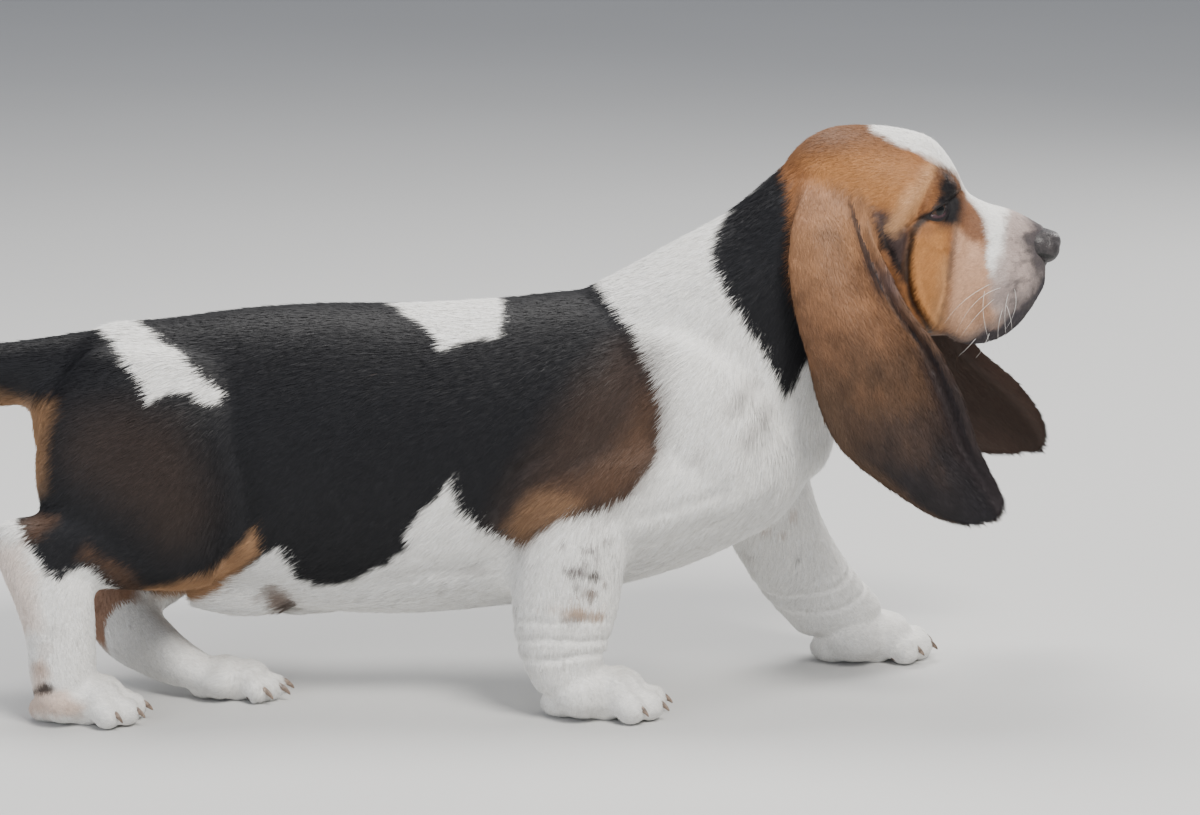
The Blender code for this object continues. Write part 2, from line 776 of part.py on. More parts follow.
def ear(table, thickness, rows=19, columns=11):
    """A closed mesh of one ear, split into triangles alike on both faces."""
    line = curve_through(table, rows)
    outer, inner = sheet_solid(line[:, 0:3], line[:, 3:6], line[:, 6], thickness, rows, columns)
    points = np.vstack([outer.reshape(-1, 3), inner.reshape(-1, 3)])
    grid = np.arange(rows * columns).reshape(rows, columns)
    quads = np.stack([grid[:-1, :-1], grid[:-1, 1:], grid[1:, 1:], grid[1:, :-1]], -1).reshape(-1, 4)
    a, b, c, d = quads.T
    upper = np.vstack([np.stack([a, b, c], 1), np.stack([a, c, d], 1)])
    lower = upper[:, ::-1] + rows * columns
    rim = np.concatenate([grid[0, :], grid[1:, -1], grid[-1, -2::-1], grid[-2:0:-1, 0]])
    after = np.roll(rim, -1)
    under = rows * columns
    wall = np.vstack(
        [np.stack([after, rim, rim + under], 1), np.stack([after, rim + under, after + under], 1)]
    )
    mesh = bpy.data.meshes.new("ear")
    mesh.from_pydata((points * MM).tolist(), [], np.vstack([upper, lower, wall]).tolist())
    shape = bmesh.new()
    shape.from_mesh(mesh)
    bmesh.ops.recalc_face_normals(shape, faces=shape.faces)
    shape.to_mesh(mesh)
    shape.free()
    return mesh


def eye_frame(side):
    """A frame at the eyeball's centre whose x is the gaze; side is -1 right, 1 left."""
    centre = Vector((EYE_CENTRE[0], side * EYE_CENTRE[1], EYE_CENTRE[2])) * MM
    turn = Matrix.Rotation(math.radians(side * GAZE_TURN), 4, "Z")
    lean = Matrix.Rotation(math.radians(side * LID_LEAN), 4, "X")
    return Matrix.Translation(centre) @ turn @ lean


def almond(side, where):
    """The opening between the lids, as a prism along the gaze."""
    count = 16
    turn = np.linspace(0, 2 * math.pi, count, endpoint=False)
    y = LID_HALF_WIDTH * np.cos(turn)
    z = LID_HALF_HEIGHT * np.sin(turn) * np.abs(np.sin(turn)) ** 0.35
    rings = np.array([np.stack([np.full(count, x), y, z], 1) for x in (2.0, 26.0)])
    mesh = closed_tube(rings, np.array([2.0, 0, 0]), np.array([26.0, 0, 0]))
    mesh.transform(eye_frame(side))
    return put("opening", mesh, where)


def open_eyes(head, where):
    """Lids over each eyeball, the socket behind them, and the opening between them."""
    for side in (-1, 1):
        centre = (EYE_CENTRE[0], side * EYE_CENTRE[1], EYE_CENTRE[2])
        lids = ball(centre, [EYE_RADIUS + LID_THICKNESS] * 3, where, segments=20, rings=12)
        head = boolean(head, lids, "UNION")
        socket = ball(centre, [EYE_RADIUS + GAP] * 3, where, segments=18, rings=12)
        head = boolean(head, socket, "DIFFERENCE")
        head = boolean(head, almond(side, where), "DIFFERENCE")
    return head


def nose_frame():
    tilt = Matrix.Rotation(math.radians(NOSE_TILT), 4, "Y")
    return Matrix.Translation(Vector((NOSE_BACK, 0, NOSE_HEIGHT)) * MM) @ tilt


def nose_leather(where):
    """The bare nose: two wings round the nostrils, a groove between them, a flat back."""
    helpers = collection("nose forms")
    for (x, y, z), radii in NOSE_LUMPS:
        for side in (-1, 1) if y else (1,):
            ball((x, y * side, z), radii, helpers, segments=32, rings=20)
    piece = put("nose", joined(helpers), helpers)
    remesh = piece.modifiers.new("one surface", "REMESH")
    remesh.mode = "VOXEL"
    remesh.voxel_size = NOSE_GRID * MM
    mesh = evaluated(piece)
    relax(mesh, 5, lambda points: np.full(len(points), 0.5))
    piece = put("nose", mesh, helpers)
    fewer = piece.modifiers.new("fewer faces", "DECIMATE")
    fewer.ratio = NOSE_TRIANGLES / (2 * len(mesh.polygons))
    mesh = evaluated(piece)
    for side in (-1, 1):
        (x, y, z), radii = NOSTRIL
        hole = ball((x, y * side, z), radii, helpers, segments=12, rings=8)
        mesh = boolean(mesh, hole, "DIFFERENCE")
        (x, y, z), radii = NOSE_SLIT
        slit_turn = Matrix.Rotation(math.radians(side * SLIT_TURN), 3, "Z")
        slit = ball((x, y * side, z), radii, helpers, slit_turn, 12, 6)
        mesh = boolean(mesh, slit, "DIFFERENCE")
    bpy.data.collections.remove(helpers)
    shape = bmesh.new()
    shape.from_mesh(mesh)
    every = shape.verts[:] + shape.edges[:] + shape.faces[:]
    bmesh.ops.bisect_plane(
        shape, geom=every, dist=1e-7, plane_co=(0, 0, 0), plane_no=(-1, 0, 0), clear_outer=True
    )
    bmesh.ops.holes_fill(shape, edges=[e for e in shape.edges if e.is_boundary], sides=0)
    bmesh.ops.triangulate(shape, faces=shape.faces)
    shape.transform(nose_frame())
    bmesh.ops.recalc_face_normals(shape, faces=shape.faces)
    shape.to_mesh(mesh)
    shape.free()
    return loose_parts(mesh)[0]


def seat_nose(head, nose, where):
    """Cuts room for the nose leather into the muzzle: its hull, a gap larger, swept forwards."""
    seat = grown(nose, GAP)
    shape = bmesh.new()
    ahead = nose_frame().to_3x3() @ Vector((NOSE_SWEEP * MM, 0, 0))
    for vertex in seat.vertices:
        shape.verts.new(vertex.co)
        shape.verts.new(vertex.co + ahead)
    hull = bmesh.ops.convex_hull(shape, input=shape.verts)
    extra = [g for g in hull["geom_interior"] + hull["geom_unused"] if isinstance(g, bmesh.types.BMVert)]
    bmesh.ops.delete(shape, geom=list(set(extra)), context="VERTS")
    bmesh.ops.recalc_face_normals(shape, faces=shape.faces)
    shape.to_mesh(seat)
    shape.free()
    return loose_parts(boolean(head, put("seat", seat, where), "DIFFERENCE"))[0]


def mouth_line(where):
    """Upright slots between each hanging lip and the lower jaw, which meet at the front."""
    for side in (-1, 1):
        line = np.array(MOUTH, float)
        count = len(line)
        ahead = np.gradient(line[:, :2], axis=0)
        ahead /= np.linalg.norm(ahead, axis=1, keepdims=True)
        across = np.stack([-ahead[:, 1], ahead[:, 0]], 1) * MOUTH_WIDTH / 2
        rings = np.empty((count, 4, 3))
        for k, (sign, top) in enumerate(((1, False), (1, True), (-1, True), (-1, False))):
            rings[:, k, :2] = line[:, :2] + sign * across
            rings[:, k, 2] = line[:, 3] if top else line[:, 2]
        rings[..., 1] *= side
        yield put("slot", closed_tube(rings, rings[0].mean(0), rings[-1].mean(0)), where)
    yield ball(*MOUTH_FRONT, where, segments=14, rings=6)


def claw(frame, heading, reach):
    """One claw: a cone that curves down from inside the toe's tip."""
    _, tip, out = toe_points(heading, reach)
    along = np.linspace(0, 1, 5)
    turn = np.linspace(0, 2 * math.pi, 8, endpoint=False)
    forward = np.array(out)
    level = np.array((-out.y, out.x, 0))
    spine = np.array(tip) + forward * CLAW_START[0] + np.array((0, 0, CLAW_START[1]))
    rings = []
    for share in along:
        centre = spine + forward * CLAW_LENGTH * share - np.array((0, 0, CLAW_DROP)) * share**2
        radius = CLAW_RADIUS * (1 - 0.8 * share)
        ring = centre + radius * (
            np.outer(np.cos(turn), level) + np.outer(np.sin(turn), (0, 0, 1))
        )
        rings.append(ring)
    end = spine + forward * (CLAW_LENGTH + CLAW_POINT) - np.array((0, 0, CLAW_DROP + CLAW_POINT))
    mesh = closed_tube(np.array(rings), spine - forward * 0.5, end)
    metric = Matrix.Scale(MM, 4) @ frame @ Matrix.Scale(1 / MM, 4)
    mesh.transform(metric)
    return mesh


def clawed(name, paw, where):
    frame = paw_frame(*PAWS[name])
    for heading, reach, _ in TOES:
        tool = put("claw", claw(frame, heading, reach), where)
        paw = boolean(paw, tool, "UNION")
    return stand_flat(paw)


def main():
    clear_scene()
    hound = collection("basset_hound")
    work = collection("work")
    body_forms(work)
    flesh = stand_flat(whole_flesh(work))
    outside = grown(flesh, EAR_CLEARANCE)
    pieces = part_flesh(flesh, work)
    head = open_eyes(pieces["head"], work)
    for slot in mouth_line(work):
        head = boolean(head, slot, "DIFFERENCE")
    pieces["nose"] = nose_leather(work)
    pieces["head"] = seat_nose(head, pieces["nose"], work)
    for name in PAWS:
        pieces[name] = clawed(name, pieces[name], work)
    for name, table in (("ear_right", EAR_RIGHT), ("ear_left", EAR_LEFT)):
        body = put("body", outside.copy(), work)
        pieces[name] = boolean(ear(table, EAR_THICKNESS), body, "DIFFERENCE")
    finishes = {name: finish for name, (_, finish) in NODES.items()}
    finishes.update({"nose": "nose", "ear_right": "brown", "ear_left": "brown"})
    for side, name in ((-1, "eye_right"), (1, "eye_left")):
        centre = (EYE_CENTRE[0], side * EYE_CENTRE[1], EYE_CENTRE[2])
        pieces[name] = ball(centre, [EYE_RADIUS] * 3, work, segments=18, rings=12).data
        finishes[name] = "eye"
    for old in list(work.objects):
        bpy.data.objects.remove(old, do_unlink=True)
    bpy.data.collections.remove(work)
    pieces = {name: loose_parts(mesh)[0] for name, mesh in pieces.items()}
    # The tables' own zero lies under the shoulders; the part's lies under the box's middle.
    corners = np.array([v.co for mesh in pieces.values() for v in mesh.vertices])
    centre = (corners.min(axis=0) + corners.max(axis=0)) / 2
    for name, mesh in pieces.items():
        mesh.transform(Matrix.Translation((-centre[0], -centre[1], 0)))
        mesh.materials.clear()
        mesh.materials.append(material(finishes[name]))
        put(name, mesh, hound)


main()
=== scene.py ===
"""A young basset hound at life size, caught in a walk, as a still museum model.

Sizes in the tables are millimetres in the hound's own frame: the head points along +X, the
animal's left side along +Y, and the paws stand on z = 0.
"""

import math

import bmesh
import bpy
import numpy as np
from mathutils import Matrix, Vector


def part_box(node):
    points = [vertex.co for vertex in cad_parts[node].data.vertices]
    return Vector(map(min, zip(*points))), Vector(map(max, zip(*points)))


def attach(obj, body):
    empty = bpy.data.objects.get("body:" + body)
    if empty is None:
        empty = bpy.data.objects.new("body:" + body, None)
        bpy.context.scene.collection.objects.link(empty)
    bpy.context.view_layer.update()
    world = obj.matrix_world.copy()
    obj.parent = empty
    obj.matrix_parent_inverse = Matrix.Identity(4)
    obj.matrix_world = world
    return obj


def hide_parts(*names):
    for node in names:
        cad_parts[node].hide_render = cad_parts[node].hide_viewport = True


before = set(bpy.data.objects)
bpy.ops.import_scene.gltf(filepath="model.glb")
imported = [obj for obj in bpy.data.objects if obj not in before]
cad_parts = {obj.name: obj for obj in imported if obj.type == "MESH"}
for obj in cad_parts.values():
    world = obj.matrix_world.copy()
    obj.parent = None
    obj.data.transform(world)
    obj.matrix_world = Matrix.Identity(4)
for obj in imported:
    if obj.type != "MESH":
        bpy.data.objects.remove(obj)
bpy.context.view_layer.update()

# The view and the frame: the hound is seen from its right, a little from above, from two
# metres away. The right eyeball ties the tables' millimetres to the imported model.
MM = 0.001
EYE_CENTRE = np.array([186.5, 25.5, 288.5])
EYE_RADIUS = 9.2
RIGHT_EYE = EYE_CENTRE * (1, -1, 1)
SHIFT = np.mean([list(corner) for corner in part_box("eye_right")], axis=0) - RIGHT_EYE * MM
VIEW_DISTANCE = 2000
VIEW_HEIGHT = 593
VIEW_TILT = 12
view = bpy.data.objects.new("view", bpy.data.cameras.new("view"))
bpy.context.scene.collection.objects.link(view)
view.location = (SHIFT[0], SHIFT[1] - VIEW_DISTANCE * MM, VIEW_HEIGHT * MM)
view.rotation_euler = (math.radians(90 - VIEW_TILT), 0, 0)
view.data.sensor_width = 36
view.data.lens = 105.75
bpy.context.scene.camera = view


def to_model(points):
    """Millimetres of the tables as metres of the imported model."""
    return np.asarray(points) * MM + SHIFT


def add_piece(name, mesh, slot, *nodes):
    """Puts a finished mesh into the scene as a piece that rides on the one body."""
    piece = bpy.data.objects.new(name, mesh)
    bpy.context.scene.collection.objects.link(piece)
    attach(piece, "root")
    if nodes:
        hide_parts(*nodes)
    return piece


# The skin: loose, thick hound's skin over flesh and bone, one surface from nose to tail tip
# with both ears in it. Overlapping rounded forms are laid along the limbs, fused on a fine
# grid, smoothed, and then creased where the skin hangs in folds.
TORSO = [
    (-312, 194, -314, 128, 34, 0),
    (-290, 216, -292, 94, 50, 0),
    (-250, 221, -252, 70, 57, 0),
    (-205, 227, -205, 55, 62, 0),
    (-155, 230, -155, 47, 66, 0),
    (-110, 230, -110, 46, 69, 0),
    (-55, 233, -55, 51, 70, 0),
    (0, 238, -2, 60, 69, 0),
    (45, 234, 40, 71, 66, 0),
    (86, 213, 78, 87, 58, 0),
    (115, 190, 108, 106, 46, 0),
    (127, 173, 123, 128, 34, 0),
]
NECK = [
    (-20, 233, 110, 118, 52, 0),
    (19, 253.5, 133, 148, 54, 0),
    (47, 269, 139, 173, 52, 0),
    (72, 283, 146, 192, 49, 0),
    (95, 302, 156, 208, 46, 0),
    (110, 315, 168, 220, 42, 0),
]
CRANIUM = [
    (103, 308, 140, 240, 31, 0),
    (114, 322.5, 152, 230, 38, 0),
    (131, 332, 162, 224, 42, 0),
    (152, 333.5, 172, 222, 43, 0),
    (174, 331, 182, 222, 42, 0),
    (190, 325.5, 192, 223, 38, 0),
    (201.5, 312, 201, 226, 31, 0),
    (209, 297, 209, 230, 25, 0),
]
MUZZLE = [
    (190, 304, 188, 234, 30, 0),
    (208, 295, 206, 230, 26, 0),
    (222, 288, 220, 230, 23.5, 0),
    (236, 284, 235, 232, 22, 0),
    (245, 280, 243.5, 234.5, 17.5, 0),
    (252, 275.8, 250.5, 242, 12.5, 0),
]
LOWER_JAW = [
    (150, 240, 150, 212, 27, 0),
    (175, 238, 177, 210, 26, 0),
    (200, 234, 201, 211, 20, 0),
    (222, 234, 224, 214, 16, 0),
    (235, 236, 236, 218.5, 13.5, 0),
    (243, 237, 243.5, 225, 10, 0),
]
TAIL = [
    (-286, 216, -292, 168, 24, 0),
    (-318, 211, -321, 169, 20.5, 0),
    (-352, 207, -352, 167.5, 18.5, 0),
    (-390, 209, -388, 175, 16, 0),
    (-418, 216, -426, 191, 13, 0),
    (-444, 230, -454, 215, 9.5, 0),
    (-467, 250, -475, 241, 6.5, 0),
]
SHEATH = [
    (-150, 68, -150, 44, 8, 0),
    (-170, 66, -170, 42, 8.5, 0),
    (-184, 64, -186, 41, 6.5, 0),
]
# These lie on both sides alike.
FLEW = [
    (186, 264, 190, 220, 8.5, 26),
    (200, 266, 203, 211, 9, 25.5),
    (218, 266, 219.5, 209.5, 9, 23),
    (234, 264, 236, 216.5, 9, 19.5),
    (246, 260, 246.5, 227.5, 8.5, 14),
    (252.5, 256, 253.5, 238, 7.5, 8.5),
]
CHEEK = [
    (158, 280, 160, 220, 14, 27),
    (174, 284, 176, 216, 16, 27),
    (190, 282, 192, 216, 14, 25),
    (204, 276, 206, 220, 10, 23),
]
BROW = [
    (176, 316, 180, 296, 8, 27),
    (190, 312, 189, 292, 9, 27),
    (202, 303, 197, 287, 8, 22),
]
SHOULDER = [
    (24, 231, -16, 206, 12, 31),
    (50, 224, -2, 177, 22, 40),
    (78, 206, 16, 147, 29, 44),
    (99, 179, 36, 125, 31, 44),
    (108, 150, 54, 111, 26, 42),
]
UPPER_ARM = [
    (102, 164, 84, 120, 22, -42),
    (60, 170, 48, 104, 29, -46),
    (10, 164, 2, 94, 30, -50),
    (-24, 146, -30, 96, 27, -52),
    (-44, 130, -43, 106, 18, -53),
]
FRONT_RIGHT = [
    (34, 176, -48, 158, 20, -46),
    (28, 136, -50, 124, 26, -54),
    (19, 106, -50, 98, 26.5, -58),
    (14.5, 82, -51.5, 74, 25, -59),
    (10.5, 58.9, -50.5, 52.1, 23.5, -58.5),
    (4, 38.5, -46, 34, 22, -58),
    (1, 27.2, -40, 20.4, 21, -58),
]
FRONT_LEFT = [
    (112, 158, 40, 126, 20, 40),
    (124, 122, 66, 92, 25, 47),
    (134, 90, 82, 65.7, 25.5, 50),
    (147, 65.7, 94, 46.5, 24.5, 52),
    (160, 48.5, 107, 31, 23.5, 55),
    (170, 37, 118, 18.5, 22, 57),
]
THIGH_RIGHT = [
    (-206, 200, -292, 208, 14, -38),
    (-199, 176, -312, 186, 24, -43),
    (-199, 146, -321, 158, 29, -46),
    (-204, 116, -321, 130, 29, -49),
    (-214, 90, -312, 106, 24, -51),
    (-226, 76, -292, 88, 17, -51),
]
SHANK_RIGHT = [
    (-226, 120, -224, 74, 20, -51),
    (-262, 124, -258, 72, 21, -54),
    (-298, 124, -294, 76, 19.5, -59),
    (-326, 117.5, -318, 77, 17, -63),
    (-340, 110, -332, 82, 13, -64),
]
HOCK_RIGHT = [
    (-297, 110, -343, 111, 16, -63),
    (-289, 88, -342, 91, 17.5, -64),
    (-286, 65.7, -333, 68, 18.5, -66),
    (-286, 45.3, -327, 47.6, 20, -67),
    (-286.5, 29.5, -325.5, 30.6, 20.5, -68),
    (-288, 16, -323, 16, 19.5, -68),
]
THIGH_LEFT = [
    (-186, 200, -286, 210, 14, 38),
    (-176, 174, -308, 190, 24, 42),
    (-174, 144, -316, 164, 29, 44),
    (-176, 114, -314, 134, 29, 45),
    (-184, 90, -300, 106, 24, 45),
    (-198, 72, -282, 84, 17, 42),
]
SHANK_LEFT = [
    (-186, 108, -238, 122, 20, 43),
    (-200, 88, -264, 104, 20, 39),
    (-216, 72, -284, 88, 19, 32),
    (-232, 58, -300, 66, 17.5, 25),
    (-250, 46, -308, 44, 16, 20),
]
HOCK_LEFT = [
    (-282, 68, -306, 32, 15.5, 18),
    (-270, 55.5, -290, 16, 16.5, 9),
    (-256, 43, -270, 8, 17.5, -1),
    (-242, 31.5, -252, 5, 18, -12),
    (-229, 24, -236, 4.5, 17, -19),
]
FLANK_RIGHT = [
    (-236, 120, -236, 52, 12, -24),
    (-208, 116, -208, 48, 12, -28),
    (-180, 112, -180, 50, 9, -28),
]
FLANK_LEFT = [
    (-222, 120, -222, 50, 12, 26),
    (-196, 114, -196, 48, 12, 28),
    (-172, 110, -172, 52, 9, 28),
]
# Front edge (x, y, z), back edge (x, y, z) and outward swell of each ear, root to tip.
EAR_RIGHT = [
    (147, -26, 306, 118, -27, 308, 0),
    (147, -36, 295, 111, -37, 297, 2),
    (152, -44, 280, 107, -46, 283, 6),
    (161.5, -51, 260, 105, -54, 260, 9),
    (172.5, -57, 239, 108.5, -60, 235, 11),
    (190.5, -61, 215, 115.5, -64, 209, 11),
    (204, -64, 188, 122, -67, 183, 10),
    (212.5, -66, 162, 133.5, -69, 160, 9),
    (223, -68, 140, 161, -72, 137, 6),
    (228, -69, 126, 189, -73, 120, 3),
    (223, -70, 117.5, 207, -72, 115.5, 1),
]
EAR_LEFT = [
    (148, 26, 306, 118, 27, 308, 0),
    (154, 36, 295, 112, 37, 297, 2),
    (163, 45, 282, 110, 47, 280, 6),
    (177, 53, 264, 114, 57, 257, 9),
    (196, 62, 245, 121, 65, 229, 11),
    (210, 69, 219, 131, 72, 201, 11),
    (227, 75, 190, 145, 78, 175, 10),
    (249, 80, 170, 166, 82, 153, 9),
    (264, 84.5, 151, 196, 86, 134, 6),
    (270.5, 87, 134, 226, 88, 122, 3),
    (268, 88, 122, 247, 88, 120, 1),
]
EAR_THICKNESS = 3.9
# A paw: place on the floor, heading, scale; and each toe of a paw: heading, reach, half width.
PAWS = {
    "front_right": ((-5, -58), -8, 1.08),
    "front_left": ((157, 59), 5, 1.1),
    "hind_right": ((-299, -68), -10, 1.0),
    "hind_left": ((-217, -22), -5, 0.85),
}
TOES = [(-25, 25, 8.2), (-8, 31.5, 8.6), (9, 31.5, 8.6), (26, 25, 8.2)]
GRID = 1.4


def along_rows(rows, count):
    """Rows read evenly along a smooth curve through all of them: a cubic between each two,
    whose slope at a row is the mean of the slopes before and after it."""
    rows = np.asarray(rows, float)
    keys = np.concatenate([[0], np.cumsum(np.linalg.norm(np.diff(rows[:, :4], axis=0), axis=1))])
    step = np.diff(keys)
    slope = np.diff(rows, axis=0) / step[:, None]
    tangent = np.vstack([slope[:1], np.zeros((len(rows) - 2, rows.shape[1])), slope[-1:]])
    weight = (step[1:] / (step[:-1] + step[1:]))[:, None]
    tangent[1:-1] = slope[:-1] * weight + slope[1:] * (1 - weight)
    at = np.linspace(0, keys[-1], count)
    i = np.clip(np.searchsorted(keys, at, side="right") - 1, 0, len(step) - 1)
    h = step[i][:, None]
    t = ((at - keys[i]) / step[i])[:, None]
    return (
        rows[i] * (2 * t**3 - 3 * t**2 + 1)
        + tangent[i] * h * (t**3 - 2 * t**2 + t)
        + rows[i + 1] * (3 * t**2 - 2 * t**3)
        + tangent[i + 1] * h * (t**3 - t**2)
    )


def flesh_form(rows, mirrored=False, square=0.92, bulge=0.55):
    """Rings of a body form. A ring is an ellipse, a little squared by the power on its sine
    and cosine, between an upper and a lower line; the end rings close in on a quarter turn."""
    rows = along_rows(rows, 44)
    upper = rows[:, [0, 5, 1]]
    lower = rows[:, [2, 5, 3]]
    middle, rise = (upper + lower) / 2, (upper - lower) / 2
    side = np.zeros_like(middle)
    side[:, 1] = rows[:, 4]
    turn = np.linspace(0, 2 * math.pi, 48, endpoint=False)
    across = np.sign(np.cos(turn)) * np.abs(np.cos(turn)) ** square
    up = np.sign(np.sin(turn)) * np.abs(np.sin(turn)) ** square
    rings = middle[:, None] + side[:, None] * across[:, None] + rise[:, None] * up[:, None]
    close = np.radians([90, 75, 50, 25])[:, None, None]
    ends = []
    for end, inner in ((0, 1), (-1, -2)):
        ahead = middle[end] - middle[inner]
        reach = ahead / np.linalg.norm(ahead) * bulge * min(np.linalg.norm(rise[end]), rows[end, 4])
        ends.append(middle[end] + reach * np.sin(close) + (rings[end] - middle[end]) * np.cos(close))
    rings = np.concatenate([ends[0], rings, ends[1][::-1]])
    return rings * (1, -1, 1) if mirrored else rings


def ball_form(centre, radii, turn=None, count=28):
    """Rings of an ellipsoid: each ring's size is the sine of its share of a half turn."""
    v = np.linspace(0, math.pi, count // 2 + 1)[:, None]
    u = np.linspace(0, 2 * math.pi, count, endpoint=False)
    unit = np.stack([np.sin(v) * np.cos(u), np.sin(v) * np.sin(u), np.cos(v) + 0 * u], -1)
    return np.asarray(centre) + (unit * radii) @ (np.eye(3) if turn is None else np.array(turn).T)


def ear_middle(table, rows, columns):
    """The middle surface of an ear's leather: straight across from the back to the front
    edge, swelled outwards by half a sine, with a trough just behind the rolled front edge."""
    line = along_rows(table, rows)
    u = np.linspace(0, 1, columns)
    bow = np.sin(math.pi * np.clip(u / 0.74, 0, 1)) ** 0.9
    trough = -0.75 * np.exp(-(((u - 0.86) / 0.075) ** 2))
    middle = line[:, None, 3:6] * (1 - u)[:, None] + line[:, None, 0:3] * u[:, None]
    middle[..., 1] += np.sign(table[0][1]) * line[:, 6:7] * (bow + trough)
    return middle


def ear_form(table, rows=90, columns=44):
    """Rings round an ear's leather: its middle surface moved half a thickness along its
    normal to either face, thinner towards the edges and the tip, which are rounded."""
    middle = ear_middle(table, rows, columns)
    normal = np.cross(np.gradient(middle, axis=1), np.gradient(middle, axis=0))
    normal /= np.linalg.norm(normal, axis=2, keepdims=True)
    u = np.linspace(0, 1, columns)
    edge = np.clip(np.minimum(u, 1 - u) / 0.06, 0.12, 1) ** 0.5
    tip = np.clip((1 - np.linspace(0, 1, rows)) / 0.05, 0.12, 1) ** 0.5
    half = EAR_THICKNESS / 2 * (0.3 + 0.7 * edge * tip[:, None])[..., None]
    rings = np.concatenate([middle + normal * half, (middle - normal * half)[:, ::-1]], axis=1)
    ends = rings[[0, -1]].mean(axis=1, keepdims=True) + np.zeros_like(rings[:1])
    return np.concatenate([ends[:1], rings, ends[1:]])


def paw_frame(name):
    """A paw's place as a matrix whose x runs out along its toes, its turn and its scale."""
    place, heading, scale = PAWS[name]
    turn = Matrix.Rotation(math.radians(heading), 4, "Z")
    placed = Matrix.Translation((*place, 0)) @ turn @ Matrix.Scale(scale, 4)
    return np.array(placed), np.array(turn.to_3x3()), scale


def placed(matrix, point):
    return matrix[:3, :3] @ np.asarray(point) + matrix[:3, 3]


def toe_points(heading, reach):
    """The knuckle and the tip of a toe in its paw's frame, and the way it points."""
    a = math.radians(heading)
    out = np.array([math.cos(a), math.sin(a), 0])
    aside = np.array([0, math.sin(a) * 9, 0])
    return out * reach * 0.52 + aside + (0, 0, 14.5), out * reach + aside * 0.9 + (0, 0, 8), out


def paw_balls(name):
    """The palm, the heel and three balls a toe, each an ellipsoid along its own heading."""
    matrix, turn, scale = paw_frame(name)
    yield ball_form(placed(matrix, (-4, 0, 14)), np.array((19.5, 24.5, 15.5)) * scale, turn)
    yield ball_form(placed(matrix, (-15, 0, 7)), np.array((13, 15, 9)) * scale, turn)
    for heading, reach, half in TOES:
        knuckle, tip, _ = toe_points(heading, reach)
        aim = turn @ np.array(Matrix.Rotation(math.radians(heading), 3, "Z"))
        for point, radii in (
            (knuckle, (13, half, 11.5)),
            (tip, (9.2, half * 0.96, 8.8)),
            (knuckle * 0.45, (14, half, 9)),
        ):
            yield ball_form(placed(matrix, point), np.array(radii) * scale, aim)


def rings_mesh(name, forms):
    """One mesh of many forms, each a grid of rings that closes round its second way."""
    points, faces, first = [], [], 0
    for rings in forms:
        count, around = rings.shape[:2]
        index = first + np.arange(count * around).reshape(count, around)
        turned = np.roll(index, -1, axis=1)
        faces.append(np.stack([index[:-1], turned[:-1], turned[1:], index[1:]], -1).reshape(-1, 4))
        points.append(rings.reshape(-1, 3))
        first += count * around
    mesh = bpy.data.meshes.new(name)
    mesh.from_pydata(np.concatenate(points), [], np.concatenate(faces))
    return mesh


def fused(mesh, size):
    """A mesh rebuilt as one closed surface on a cubic grid of the given size."""
    piece = bpy.data.objects.new("fusing", mesh)
    bpy.context.scene.collection.objects.link(piece)
    remesh = piece.modifiers.new("one surface", "REMESH")
    remesh.mode = "VOXEL"
    remesh.voxel_size = size
    made = bpy.data.meshes.new_from_object(piece.evaluated_get(bpy.context.evaluated_depsgraph_get()))
    bpy.data.objects.remove(piece)
    return made


def read_points(mesh, name="co"):
    points = np.empty(len(mesh.vertices) * 3)
    mesh.vertices.foreach_get(name, points)
    return points.reshape(-1, 3)


def write_points(mesh, points):
    mesh.vertices.foreach_set("co", np.asarray(points).ravel())
    mesh.update()


def relaxed(mesh, points, rounds, pull):
    """Each point moved towards the mean of its neighbours by its own pull, some rounds over."""
    count = len(points)
    ends = np.empty(len(mesh.edges) * 2, np.int32)
    mesh.edges.foreach_get("vertices", ends)
    a, b = ends.reshape(-1, 2).T
    degree = np.bincount(a, minlength=count) + np.bincount(b, minlength=count)
    share = (np.asarray(pull) / degree)[:, None] if np.ndim(pull) else pull / degree[:, None]
    hold = 1 - share * degree[:, None]
    for _ in range(rounds):
        total = np.stack(
            [np.bincount(a, points[b, k], count) + np.bincount(b, points[a, k], count) for k in range(3)],
            axis=1,
        )
        points = points * hold + total * share
    return points


def smooth_step(value, low, high):
    t = np.clip((value - low) / (high - low), 0, 1)
    return t * t * (3 - 2 * t)


def ear_place(points):
    """For each point: its distance from the nearest ear's middle surface, the share of the
    way from root to tip and from back to front there, and the side, 1 on the outer face."""
    away = np.full(len(points), 99.0)
    place = np.zeros((len(points), 3))
    for table in (EAR_RIGHT, EAR_LEFT):
        middle = ear_middle(table, 64, 30)
        near = np.all((points > middle.min((0, 1)) - 9) & (points < middle.max((0, 1)) + 9), axis=1)
        near = np.flatnonzero(near)
        flat = middle.reshape(-1, 3)
        square = (flat**2).sum(1)
        for block in np.array_split(near, max(1, len(near) // 8000)):
            found = np.argmin(square - 2 * points[block] @ flat.T, axis=1)
            gap = points[block] - flat[found]
            distance = np.linalg.norm(gap, axis=1)
            outer = np.sign(table[0][1]) * gap[:, 1]
            closer = distance < away[block]
            block, found, distance, outer = (v[closer] for v in (block, found, distance, outer))
            away[block] = distance
            place[block] = np.stack([found // 30 / 63, found % 30 / 29, np.where(outer > 0, 1, -1)], 1)
    return away, place


def in_side_view(points, plane=57):
    """Where points fall when they are drawn from the view's place onto a plane beside the
    animal: x and z there. Both flanks are drawn alike, so outlines can serve either."""
    reach = (VIEW_DISTANCE - plane) / (VIEW_DISTANCE - np.abs(points[:, 1]))
    return np.stack([points[:, 0] * reach, VIEW_HEIGHT + (points[:, 2] - VIEW_HEIGHT) * reach], 1)


